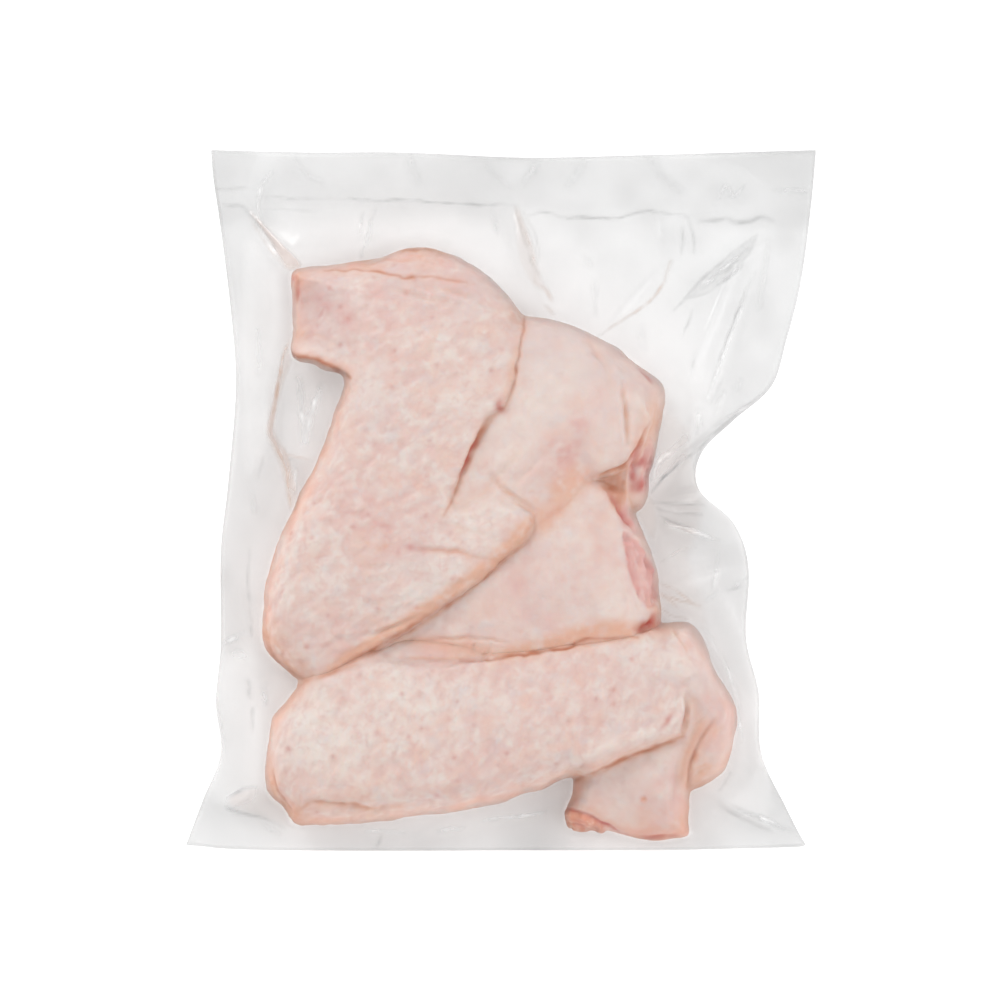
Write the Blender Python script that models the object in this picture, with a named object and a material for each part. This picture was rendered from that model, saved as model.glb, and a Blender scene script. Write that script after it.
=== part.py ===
"""Two cut turkey wings, shrunk tight in a clear vacuum pouch that lies flat.

The pack is one closed solid. Its upper and lower faces are height fields over the pouch's outline:
they part where the meat is and come together in the thin margins of film. Lengths are millimetres
until the mesh is written. The origin is on the table under the middle of the pack, +X runs to the
right, +Y runs to the heat-sealed edge and +Z points up.
"""
import math

import bmesh
import bpy
import numpy as np
from mathutils import Vector
from mathutils.geometry import delaunay_2d_cdt

MM = 0.001

# The pouch: nominal 250 x 300 mm before the air is drawn out.
FILM_THICKNESS = 0.7
SEAM_HEIGHT = 13.0
EDGE_HEIGHT = 1.6
EDGE_STEP = 5.5
SEAL_DISTANCE = 15.0
SEAL_WIDTH = 2.6
SEAL_LIFT = 0.7
SEAL_SWAY = 2.0
SEAL_SWAY_LENGTH = 24.0

POUCH_TOP = [(-116, 140), (-78, 139), (-40, 139), (10, 137), (60, 138), (126, 140)]
POUCH_RIGHT = [(126, 140), (124, 118), (120, 88), (114, 64), (108, 46), (93, 33), (80, 20), (79, 6),
               (93, -8), (99, -26), (98, -54), (103, -76), (104, -100), (114, -122), (122, -138)]
POUCH_BOTTOM = [(122, -138), (112, -139), (40, -140), (-90, -140), (-126, -138)]
POUCH_LEFT = [(-126, -138), (-119, -119), (-112, -100), (-114, -80), (-112, -56), (-112, -20),
              (-109, 8), (-106, 46), (-108, 76), (-112, 108), (-115, 128), (-116, 140)]

# The meat, seen from above. Each mass of the two wings is a pillow over its own outline. A pillow's
# top runs from the first height to the second along its axis, with the crown added half way. Where
# it meets another mass, its edge has the crease radius.
WING_MASSES = {
    "upper_wing_flat": {
        "outline": [(-83.5, 91), (-72, 93), (-60, 95), (-48, 96), (-41, 99.5), (-30, 100),
                    (-22, 98), (-15, 95), (-8, 91), (0, 83), (6, 77), (9, 72.5), (8.5, 66),
                    (7, 58), (5.5, 48), (3, 40), (1, 36), (-3.5, 33), (-8, 26), (-12.5, 16),
                    (-17, 7), (-20, -1), (-12, -3), (0, -2), (11, -4.5), (12, -10), (9, -16),
                    (2, -22), (-5, -28), (-17, -38), (-30, -47), (-44, -56), (-56, -62.5),
                    (-68, -69), (-78, -72), (-86, -67), (-93, -61), (-95.5, -53.5), (-95, -42.5),
                    (-91, -23.5), (-83.5, -5), (-73.5, 16), (-67, 33), (-61.5, 47), (-65, 50.5),
                    (-69.5, 52), (-75, 55), (-80.5, 55.5), (-84, 59), (-83, 67), (-83, 73),
                    (-83.5, 85)],
        "axis": ((-40, 98), (-78, -72)), "heights": (38, 38), "crown": 9, "crease": 6},
    "upper_wing_web": {
        "outline": [(4, 68), (9, 73), (19, 72), (29.5, 69), (40, 64), (48, 59.5), (56, 53),
                    (62, 46.5), (64.5, 41), (62, 35), (59, 30), (54, 21.5), (50.5, 15.5),
                    (42.5, 11.5), (36.5, 9.5), (31.5, 4), (27, -3.5), (18.5, -13.5), (8, -21),
                    (0, -26), (-10, -32), (-24, -38), (-36, -30), (-34, -10), (-28, 10),
                    (-16, 34), (-8, 52), (-4, 62)],
        "axis": ((35, 65), (-55, -60)), "heights": (38, 32), "crown": 4, "crease": 7},
    "upper_wing_shoulder": {
        "outline": [(50, 52), (62, 46.5), (64.5, 41), (65, 35), (63, 27), (61, 18), (59, 10),
                    (58.5, 2), (55, -4), (48.5, -3), (40.5, 3), (34, 9), (34, 20), (44, 34),
                    (46, 44)],
        "axis": ((60, 45), (44, 2)), "heights": (31, 23), "crown": 0, "crease": 5},
    "upper_wing_drumette": {
        "outline": [(30, 12), (36.5, 8), (42, 6), (48, 2), (52, -4), (55.5, -10), (58, -16.5),
                    (60.5, -24), (62, -31), (63, -39), (63.5, -46), (62, -52), (52.5, -57),
                    (40, -59), (33, -59), (28, -60), (15.5, -63), (2.5, -65), (-8.5, -65),
                    (-21, -64.5), (-36, -64.5), (-50, -65), (-60, -68), (-70, -66), (-62, -54),
                    (-40, -34), (-20, -14), (0, 2), (16, 12)],
        "axis": ((60, -20), (-50, -65)), "heights": (36, 31), "crown": 5, "crease": 8},
    "lower_wing_skin_fold": {
        "outline": [(-46.5, -58), (-40.5, -56.5), (-31.5, -55.5), (-21, -55), (-13, -54.5),
                    (-5.5, -55), (1, -56.5), (-1, -62), (-8.5, -64), (-21, -67), (-37, -68),
                    (-50, -70), (-56.5, -65.5)],
        "axis": ((-42, -60), (0, -60)), "heights": (36, 38), "crown": 0, "crease": 4},
    "lower_wing_tuck": {
        "outline": [(-84, -66), (-76, -58), (-60, -54), (-46, -54), (-40, -62), (-52, -72),
                    (-68, -78), (-82, -78), (-86, -72)],
        "axis": ((-84, -70), (-44, -60)), "heights": (29, 33), "crown": 0, "crease": 5},
    "lower_wing_flat": {
        "outline": [(-78, -72), (-68, -69), (-53, -64.5), (-37, -63.5), (-21, -63.5), (0, -61),
                    (15.5, -59), (28, -56), (40, -55), (52.5, -53.5), (59.5, -50), (66.5, -49.5),
                    (75.5, -52), (78, -60), (76, -70), (72.5, -79), (73.5, -83.5), (71, -92.5),
                    (69, -93), (58.5, -97), (47.5, -101), (37, -106), (29, -110), (21.5, -112.5),
                    (15.5, -115), (10.5, -116), (-1.5, -120), (-17, -124), (-33, -126),
                    (-45, -127.5), (-60, -129), (-81.5, -129.5), (-86, -123.5), (-91, -119),
                    (-93.5, -115), (-94, -107), (-93, -95), (-91, -87), (-88, -82.5),
                    (-83, -76.5)],
        "axis": ((-92, -108), (76, -70)), "heights": (36, 38), "crown": 7, "crease": 5},
    "lower_wing_elbow": {
        "outline": [(45, -62), (59.5, -51.5), (66.5, -50), (74.5, -50), (77, -54), (80.5, -59),
                    (85, -67), (89, -74.5), (92.5, -80.5), (94, -85), (93.5, -93), (91.5, -102),
                    (89, -108.5), (85, -111), (79.5, -114), (73, -116), (71.5, -110), (72, -106),
                    (73.5, -100), (76, -94), (78, -88), (76, -82), (67.5, -78), (52, -72)],
        "axis": ((66, -50), (86, -112)), "heights": (38, 31), "crown": 2, "crease": 6},
    "lower_wing_cut_end": {
        "outline": [(29, -111), (28, -117), (25.5, -121.5), (25.5, -128), (29.5, -131.5),
                    (40, -131.5), (50, -134.5), (61.5, -136), (71, -135), (76, -133.5),
                    (75, -129), (75, -116), (75.5, -108), (76.5, -104), (78.5, -99), (82, -92),
                    (85.5, -87), (88, -78), (78, -70), (62, -80), (48, -90), (36, -100)],
        "axis": ((82, -78), (52, -134)), "heights": (35, 24), "crown": 0, "crease": 5},
}
OUTER_RADIUS = 18.0
CREASE_REACH = 8.0
CREASE_SWELL = 2.5
CROWN_RADIUS = 36.0
CROWN_SHARE = 0.2
UNDERSIDE_RADIUS = 14.0

# Where the meat's ends are pressed thinner: place, reach and drop.
THIN_ENDS = [((-86, 72), 20, 12.0), ((52, -136), 20, 9.0), ((-94, -118), 14, 6.0),
             ((62, 6), 14, 6.0), ((82, -116), 12, 8.0), ((-94, -62), 12, 6.0),
             ((-30, 102), 14, 6.0), ((66, 38), 10, 4.0)]

# The film in the margins: how fast it falls beside the meat, and its slow waves.
MARGIN_SWEEP = 1.6
WAVE_HEIGHT = 0.9
FIRST_WAVE = (13.0, 31.0)
SECOND_WAVE = (17.0, -29.0)
LEAST_GAP = 0.1

# Standing folds of the film: start, end, half width and height.
FILM_FOLDS = [
    ((-100, 114), (-80, 92), 2.4, 2.6),
    ((6, 116), (18, 76), 2.2, 2.8),
    ((62, 92), (36, 62), 2.4, 2.6),
    ((64, 114), (67, 92), 2.2, 2.2),
    ((106, 104), (76, 86), 2.8, 3.2),
    ((96, 100), (76, 52), 2.4, 2.4),
    ((84, 26), (62, 6), 2.2, 2.8),
    ((82, 4), (60, 0), 2.2, 2.6),
    ((90, -14), (62, -9), 2.2, 2.4),
    ((92, -26), (64, -34), 2.4, 2.6),
    ((-92, 52), (-92, 20), 2.4, 2.2),
    ((-104, -36), (-97, -64), 2.2, 2.2),
    ((-112, -124), (-96, -112), 2.4, 2.6),
    ((108, -132), (80, -116), 2.4, 2.8),
    ((-36, -136), (-20, -126), 2.2, 2.0),
]
FOLD_END_HEIGHT = 0.12

# The sampling of the faces.
GRID_STEP = 2.0
DRAPE_PASSES = 8
CREASE_PASSES = 2
CURVE_SAMPLES = 24
FOLD_STEP = 4.5
FOLD_FOOT = 1.4
FOLD_GAP = 2.5
RING_DEPTHS = (0.0, 2.5, 6.5, 12.0, -4.0)
RING_STEP = 4.6
RING_GAP = 3.7
RING_TOLERANCE = 0.5
CREASE_OVERLAP = 12.0
CREASE_SIDE = 3.2
CREASE_GAP = 2.9
FINE_SPACING = 2.9
COARSE_SPACING = 9.5
BEND_FOR_FINE = 0.07
EDGE_CLEARANCE = 2.6
SAME_POINT = 1e-4

# Underneath, what comes this close to the table lies flat on it, and the margins stay clear.
TABLE_SNAP = 0.4
LEAST_LIFT = 0.5
FLAT_ANGLE = math.radians(0.01)

PACK_COLOUR = (0.76, 0.57, 0.51, 1.0)
PACK_ROUGHNESS = 0.3


def curve_through(points, step, closed):
    """Even samples, about one step apart, of a smooth curve through the points."""
    knots = np.array(points, dtype=float)
    count = len(knots)
    if closed:
        padded = np.vstack([knots[-1], knots, knots[0], knots[1]])
        spans = count
    else:
        padded = np.vstack([2 * knots[0] - knots[1], knots, 2 * knots[-1] - knots[-2]])
        spans = count - 1
    t = np.linspace(0, 1, CURVE_SAMPLES, endpoint=False)[:, None]
    dense = []
    for i in range(spans):
        a, b, c, d = padded[i:i + 4]
        dense.append(0.5 * (2 * b + (c - a) * t + (2 * a - 5 * b + 4 * c - d) * t ** 2
                            + (3 * b - a - 3 * c + d) * t ** 3))
    last = knots[0] if closed else knots[-1]
    dense = np.vstack(dense + [last[None, :]])
    lengths = np.concatenate([[0], np.cumsum(np.hypot(*np.diff(dense, axis=0).T))])
    pieces = max(3, round(lengths[-1] / step))
    stops = np.linspace(0, lengths[-1], pieces + 1)
    samples = np.column_stack([np.interp(stops, lengths, dense[:, k]) for k in (0, 1)])
    return samples[:-1]


def pouch_outline():
    """The pouch's edge, clockwise from its upper left corner."""
    sides = [POUCH_TOP, POUCH_RIGHT, POUCH_BOTTOM, POUCH_LEFT]
    return np.vstack([curve_through(side, EDGE_STEP, closed=False) for side in sides])


def depth_inside(x, y, outline):
    """Distance from each point to the outline, positive inside it and negative outside."""
    nearest = np.full(x.shape, np.inf)
    inside = np.zeros(x.shape, dtype=bool)
    for (x0, y0), (x1, y1) in zip(outline, np.roll(outline, -1, axis=0)):
        dx, dy = x1 - x0, y1 - y0
        t = np.clip(((x - x0) * dx + (y - y0) * dy) / (dx * dx + dy * dy), 0, 1)
        nearest = np.minimum(nearest, (x - x0 - t * dx) ** 2 + (y - y0 - t * dy) ** 2)
        crosses = (y0 > y) != (y1 > y)
        if dy != 0:
            inside ^= crosses & (x < x0 + (y - y0) * dx / dy)
    return np.where(inside, 1, -1) * np.sqrt(nearest)


def quarter_round(depth, radius):
    """A quarter circle's rise from 0 at the edge to 1 at one radius inside it."""
    t = np.clip(depth / radius, 0, 1)
    return np.sqrt(1 - (1 - t) ** 2)


def along(x, y, start, end):
    """How far each point lies along the line from start to end, from 0 to 1."""
    dx, dy = end[0] - start[0], end[1] - start[1]
    return np.clip(((x - start[0]) * dx + (y - start[1]) * dy) / (dx * dx + dy * dy), 0, 1)


def mass_outlines(step):
    """The outline of each mass of the wings, sampled about one step apart."""
    return [curve_through(mass["outline"], step, closed=True) for mass in WING_MASSES.values()]


def outline_samples(step):
    """Samples of every mass's outline, their inward directions, and their depth in other masses."""
    outlines = mass_outlines(step)
    inward, hidden = [], []
    for k, outline in enumerate(outlines):
        tangent = np.roll(outline, -1, axis=0) - np.roll(outline, 1, axis=0)
        normal = np.column_stack([tangent[:, 1], -tangent[:, 0]])
        normal /= np.hypot(normal[:, 0], normal[:, 1])[:, None]
        ahead = outline + normal
        normal[depth_inside(ahead[:, 0], ahead[:, 1], outline) < 0] *= -1
        inward.append(normal)
        others = outlines[:k] + outlines[k + 1:]
        hidden.append(np.max([depth_inside(outline[:, 0], outline[:, 1], other)
                              for other in others], axis=0))
    return np.vstack(outlines), np.vstack(inward), np.concatenate(hidden)


def distance_to_samples(x, y, samples):
    """Distance from each point to the nearest of the samples."""
    nearest = np.full(x.shape, np.inf)
    for sx, sy in samples:
        nearest = np.minimum(nearest, (x - sx) ** 2 + (y - sy) ** 2)
    return np.sqrt(nearest)


def meat_surface(x, y):
    """The height of the wings' top, and how deep inside their joint outline each point lies.

    A mass has a wide round edge where it forms the wings' outline. Where it meets or overlaps its
    neighbour it swells a little past its outline, with a tight edge, so that they meet in a crease.
    """
    insides = [depth_inside(x, y, outline) for outline in mass_outlines(GRID_STEP)]
    samples, _, hidden = outline_samples(GRID_STEP / 2)
    to_edge = distance_to_samples(x, y, samples[hidden < 0])
    depth = np.where(np.max(insides, axis=0) > 0, to_edge, -to_edge)
    top = np.zeros(x.shape)
    for mass, inside in zip(WING_MASSES.values(), insides):
        t = along(x, y, *mass["axis"])
        first, second = mass["heights"]
        full = first + (second - first) * t + mass["crown"] * 4 * t * (1 - t)
        for (px, py), reach, drop in THIN_ENDS:
            full = full - drop * np.exp(-((x - px) ** 2 + (y - py) ** 2) / reach ** 2)
        outer = np.clip(1 - (depth - inside) / CREASE_REACH, 0, 1)
        inside = inside + CREASE_SWELL * (1 - outer)
        radius = mass["crease"] + (OUTER_RADIUS - mass["crease"]) * outer
        rise = ((1 - CROWN_SHARE) * quarter_round(inside, radius)
                + CROWN_SHARE * quarter_round(inside, CROWN_RADIUS))
        pillow = np.where(inside > 0, SEAM_HEIGHT + (full - SEAM_HEIGHT) * rise, 0)
        top = np.maximum(top, pillow)
    return top, depth


def margin_height(x, y, meat_gap, edge_gap):
    """The middle of the two films in the margins, falling from the meat to the pouch's edge."""
    share = meat_gap / np.maximum(meat_gap + edge_gap, LEAST_GAP)
    waves = (np.sin(x / FIRST_WAVE[0] + y / FIRST_WAVE[1])
             * np.sin(y / SECOND_WAVE[0] + x / SECOND_WAVE[1]))
    fall = (1 - share) ** MARGIN_SWEEP
    return EDGE_HEIGHT + (SEAM_HEIGHT - EDGE_HEIGHT) * fall + WAVE_HEIGHT * waves * share


def fold_height(x, y):
    """The standing folds and the heat seal, as a height above the smooth film."""
    lift = np.zeros(x.shape)
    for start, end, half_width, height in FILM_FOLDS:
        t = along(x, y, start, end)
        px = start[0] + (end[0] - start[0]) * t
        py = start[1] + (end[1] - start[1]) * t
        across = np.hypot(x - px, y - py) / half_width
        arch = np.sin(math.pi * (FOLD_END_HEIGHT + (1 - 2 * FOLD_END_HEIGHT) * t))
        lift = np.maximum(lift, height * arch * np.exp(-across ** 2))
    sway = SEAL_SWAY * (x > 0) * np.sin(x / SEAL_SWAY_LENGTH)
    seal_line = POUCH_TOP[0][1] - SEAL_DISTANCE - sway
    return lift + SEAL_LIFT * np.exp(-((y - seal_line) / SEAL_WIDTH) ** 2)


def neighbour_mean(z):
    """The mean of each value's four neighbours, with the borders repeated."""
    padded = np.pad(z, 1, mode="edge")
    return 0.25 * (padded[:-2, 1:-1] + padded[2:, 1:-1] + padded[1:-1, :-2] + padded[1:-1, 2:])


def film_faces():
    """The grid's coordinates and, on it, both faces' heights and each place's depths.

    The depths are those inside the pouch's edge and inside the meat's outline. The standing folds
    are left out, because they are narrower than the grid.
    """
    outline = pouch_outline()
    low, high = outline.min(axis=0), outline.max(axis=0)
    x, y = np.meshgrid(np.arange(low[0] - GRID_STEP, high[0] + 2 * GRID_STEP, GRID_STEP),
                       np.arange(low[1] - GRID_STEP, high[1] + 2 * GRID_STEP, GRID_STEP))
    edge_gap = depth_inside(x, y, outline)
    meat_top, meat_depth = meat_surface(x, y)
    middle = margin_height(x, y, np.maximum(-meat_depth, 0), np.maximum(edge_gap, 0))
    underside = SEAM_HEIGHT * (1 - quarter_round(meat_depth, UNDERSIDE_RADIUS))
    in_meat = meat_depth > 0
    least_top = np.where(in_meat, meat_top, middle)
    most_bottom = np.where(in_meat, underside, middle)
    top, bottom = least_top.copy(), most_bottom.copy()
    on_meat = meat_depth > CREASE_REACH
    for k in range(DRAPE_PASSES):
        slack = (k < CREASE_PASSES) | ~on_meat
        top = np.where(slack, np.maximum(least_top, neighbour_mean(top)), top)
        bottom = np.where(slack, np.minimum(most_bottom, neighbour_mean(bottom)), bottom)
    return {"x": x, "y": y, "top": top, "bottom": bottom, "edge": edge_gap, "meat": meat_depth}


def grid_value(faces, name, points):
    """A grid quantity at any points, by straight interpolation between grid places."""
    u = (points[:, 0] - faces["x"][0, 0]) / GRID_STEP
    v = (points[:, 1] - faces["y"][0, 0]) / GRID_STEP
    j, i = u.astype(int), v.astype(int)
    fu, fv = u - j, v - i
    z = faces[name]
    lower = z[i, j] * (1 - fu) + z[i, j + 1] * fu
    upper = z[i + 1, j] * (1 - fu) + z[i + 1, j + 1] * fu
    return lower * (1 - fv) + upper * fv


def fold_points():
    """Places along each standing fold, on its crest and at the foot of both its sides."""
    places = []
    for start, end, half_width, _ in FILM_FOLDS:
        run = Vector(end) - Vector(start)
        across = run.orthogonal().normalized() * half_width * FOLD_FOOT
        pieces = max(2, round(run.length / FOLD_STEP))
        for k in range(pieces + 1):
            crest = Vector(start) + run * (k / pieces)
            places += [crest, crest + across, crest - across]
    return places


def ring_points(faces):
    """Places on rings that follow the meat's outline up its round edge."""
    samples, inward, hidden = outline_samples(RING_STEP / 2)
    places = []
    for ring_depth in RING_DEPTHS:
        ring = (samples + inward * ring_depth)[hidden < 0]
        actual = grid_value(faces, "meat", ring)
        near = abs(actual - ring_depth) < RING_TOLERANCE
        places += [Vector(p) for p in ring[near]]
    return places


def crease_points():
    """Places along the creases, half way between a hidden outline and the edge that covers it."""
    samples, inward, hidden = outline_samples(RING_STEP / 2)
    covered = (hidden > 0) & (hidden < CREASE_OVERLAP)
    bottom = (samples + inward * hidden[:, None] / 2)[covered]
    places = []
    for side in (0, -CREASE_SIDE, CREASE_SIDE):
        places += [Vector(p) for p in bottom + inward[covered] * side]
    return places


def chosen_points(faces):
    """Places for the mesh's points: on folds and rings first, then where a face bends sharply."""
    x, y = faces["x"], faces["y"]
    bend = np.maximum(abs(neighbour_mean(faces["top"]) - faces["top"]),
                      abs(neighbour_mean(faces["bottom"]) - faces["bottom"]))
    sharpness = np.clip(bend / GRID_STEP / BEND_FOR_FINE, 0, 1)
    spacing = COARSE_SPACING + (FINE_SPACING - COARSE_SPACING) * np.sqrt(sharpness)
    order = np.argsort(spacing, axis=None, kind="stable")
    candidates = [(place, FOLD_GAP) for place in fold_points()]
    candidates += [(place, CREASE_GAP) for place in crease_points()]
    candidates += [(place, RING_GAP) for place in ring_points(faces)]
    candidates += [(Vector((px, py)), gap)
                   for px, py, gap in zip(x.flat[order], y.flat[order], spacing.flat[order])]
    reach = COARSE_SPACING
    cells = {}
    chosen = []
    clearance = grid_value(faces, "edge", np.clip(
        np.array([place for place, _ in candidates]),
        (x[0, 0], y[0, 0]), (x[-1, -2] - SAME_POINT, y[-2, -1] - SAME_POINT)))
    for (place, gap), clear in zip(candidates, clearance):
        if clear < EDGE_CLEARANCE:
            continue
        column, row = int(place.x // reach), int(place.y // reach)
        near = [other for i in (-1, 0, 1) for j in (-1, 0, 1)
                for other in cells.get((column + i, row + j), ())]
        if any((other - place).length < gap for other in near):
            continue
        cells.setdefault((column, row), []).append(place)
        chosen.append(tuple(place))
    return chosen


def pack_mesh():
    """The closed solid: an upper and a lower face on one set of triangles, joined at the edge."""
    outline = pouch_outline()
    faces = film_faces()
    places = [Vector(p) for p in outline] + [Vector(p) for p in chosen_points(faces)]
    edges = [(k, (k + 1) % len(outline)) for k in range(len(outline))]
    result = delaunay_2d_cdt(places, edges, [], 1, SAME_POINT)
    triangles = result[2]
    points = np.array([tuple(p) for p in result[0]])

    folds = fold_height(points[:, 0], points[:, 1])
    in_margin = np.clip(1 - grid_value(faces, "meat", points) / UNDERSIDE_RADIUS, 0, 1)
    bottom = grid_value(faces, "bottom", points) + folds * in_margin - FILM_THICKNESS / 2
    bottom = np.where((bottom < TABLE_SNAP) & (in_margin < 1), 0, np.maximum(bottom, LEAST_LIFT))
    top = grid_value(faces, "top", points) + folds + FILM_THICKNESS / 2
    top = np.maximum(top, bottom + FILM_THICKNESS)

    bm = bmesh.new()
    upper = [bm.verts.new((px * MM, py * MM, z * MM)) for (px, py), z in zip(points, top)]
    lower = [bm.verts.new((px * MM, py * MM, z * MM)) for (px, py), z in zip(points, bottom)]
    for a, b, c in triangles:
        bm.faces.new((upper[a], upper[b], upper[c]))
        bm.faces.new((lower[c], lower[b], lower[a]))
    lower_of = dict(zip(upper, lower))
    rim = [edge for edge in bm.edges if len(edge.link_faces) == 1 and edge.verts[0] in lower_of]
    for edge in rim:
        loop = edge.link_loops[0]
        a, b = loop.vert, loop.link_loop_next.vert
        bm.faces.new((b, a, lower_of[a], lower_of[b]))

    flat = {v for v in lower if v.co.z == 0}
    flat_edges = [e for e in bm.edges if e.verts[0] in flat and e.verts[1] in flat]
    bmesh.ops.dissolve_limit(bm, angle_limit=FLAT_ANGLE, verts=list(flat), edges=flat_edges)
    bmesh.ops.triangulate(bm, faces=bm.faces[:])
    mesh = bpy.data.meshes.new("vacuum_pack")
    bm.to_mesh(mesh)
    bm.free()
    mesh.shade_smooth()
    return mesh


def film_and_skin():
    """Pale raw skin under glossy film."""
    material = bpy.data.materials.new("film_and_skin")
    material.use_nodes = True
    shader = material.node_tree.nodes["Principled BSDF"]
    shader.inputs["Base Color"].default_value = PACK_COLOUR
    shader.inputs["Roughness"].default_value = PACK_ROUGHNESS
    shader.inputs["Metallic"].default_value = 0.0
    return material


def main():
    for old in list(bpy.data.objects):
        bpy.data.objects.remove(old)
    pack = bpy.data.objects.new("vacuum_pack", pack_mesh())
    pack.data.materials.append(film_and_skin())
    bpy.context.scene.collection.objects.link(pack)


main()
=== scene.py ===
"""The looks of a vacuum pack of two raw turkey wings that lies flat, seen from straight above.

Each wing is a closed mesh made from a field of soft masses, with folds, goose skin and colour
masks. Two sheets of film are draped over and under the wings. Tables and shape functions work in
millimetres, with the origin on the table under the middle of the pack; meshes are in metres.
"""

import itertools
import math

import bpy
import numpy as np
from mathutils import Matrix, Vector, kdtree


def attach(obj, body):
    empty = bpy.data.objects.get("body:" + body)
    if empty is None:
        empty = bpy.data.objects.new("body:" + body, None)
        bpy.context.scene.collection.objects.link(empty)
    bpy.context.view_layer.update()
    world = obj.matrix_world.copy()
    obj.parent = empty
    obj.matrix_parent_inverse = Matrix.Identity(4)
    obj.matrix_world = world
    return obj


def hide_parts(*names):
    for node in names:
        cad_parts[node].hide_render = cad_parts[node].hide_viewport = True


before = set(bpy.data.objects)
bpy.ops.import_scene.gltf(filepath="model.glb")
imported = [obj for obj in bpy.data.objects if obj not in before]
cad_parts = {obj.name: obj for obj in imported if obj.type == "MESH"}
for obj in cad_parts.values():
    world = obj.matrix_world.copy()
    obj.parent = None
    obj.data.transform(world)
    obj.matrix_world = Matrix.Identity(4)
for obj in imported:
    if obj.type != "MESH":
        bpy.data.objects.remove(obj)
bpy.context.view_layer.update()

MM = 0.001
BODY = "root"
NODE = "vacuum_pack"

# The pouch's edge.
POUCH_TOP = [(-116, 140), (-78, 139), (-40, 139), (10, 137), (60, 138), (126, 140)]
POUCH_RIGHT = [(126, 140), (124, 118), (120, 88), (114, 64), (108, 46), (93, 33), (80, 20), (79, 6),
               (93, -8), (99, -26), (98, -54), (103, -76), (104, -100), (114, -122), (122, -138)]
POUCH_BOTTOM = [(122, -138), (112, -139), (40, -140), (-90, -140), (-126, -138)]
POUCH_LEFT = [(-126, -138), (-119, -119), (-112, -100), (-114, -80), (-112, -56), (-112, -20),
              (-109, 8), (-106, 46), (-108, 76), (-112, 108), (-115, 128), (-116, 140)]
SEAM_HEIGHT = 13.0
EDGE_HEIGHT = 1.6

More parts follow.
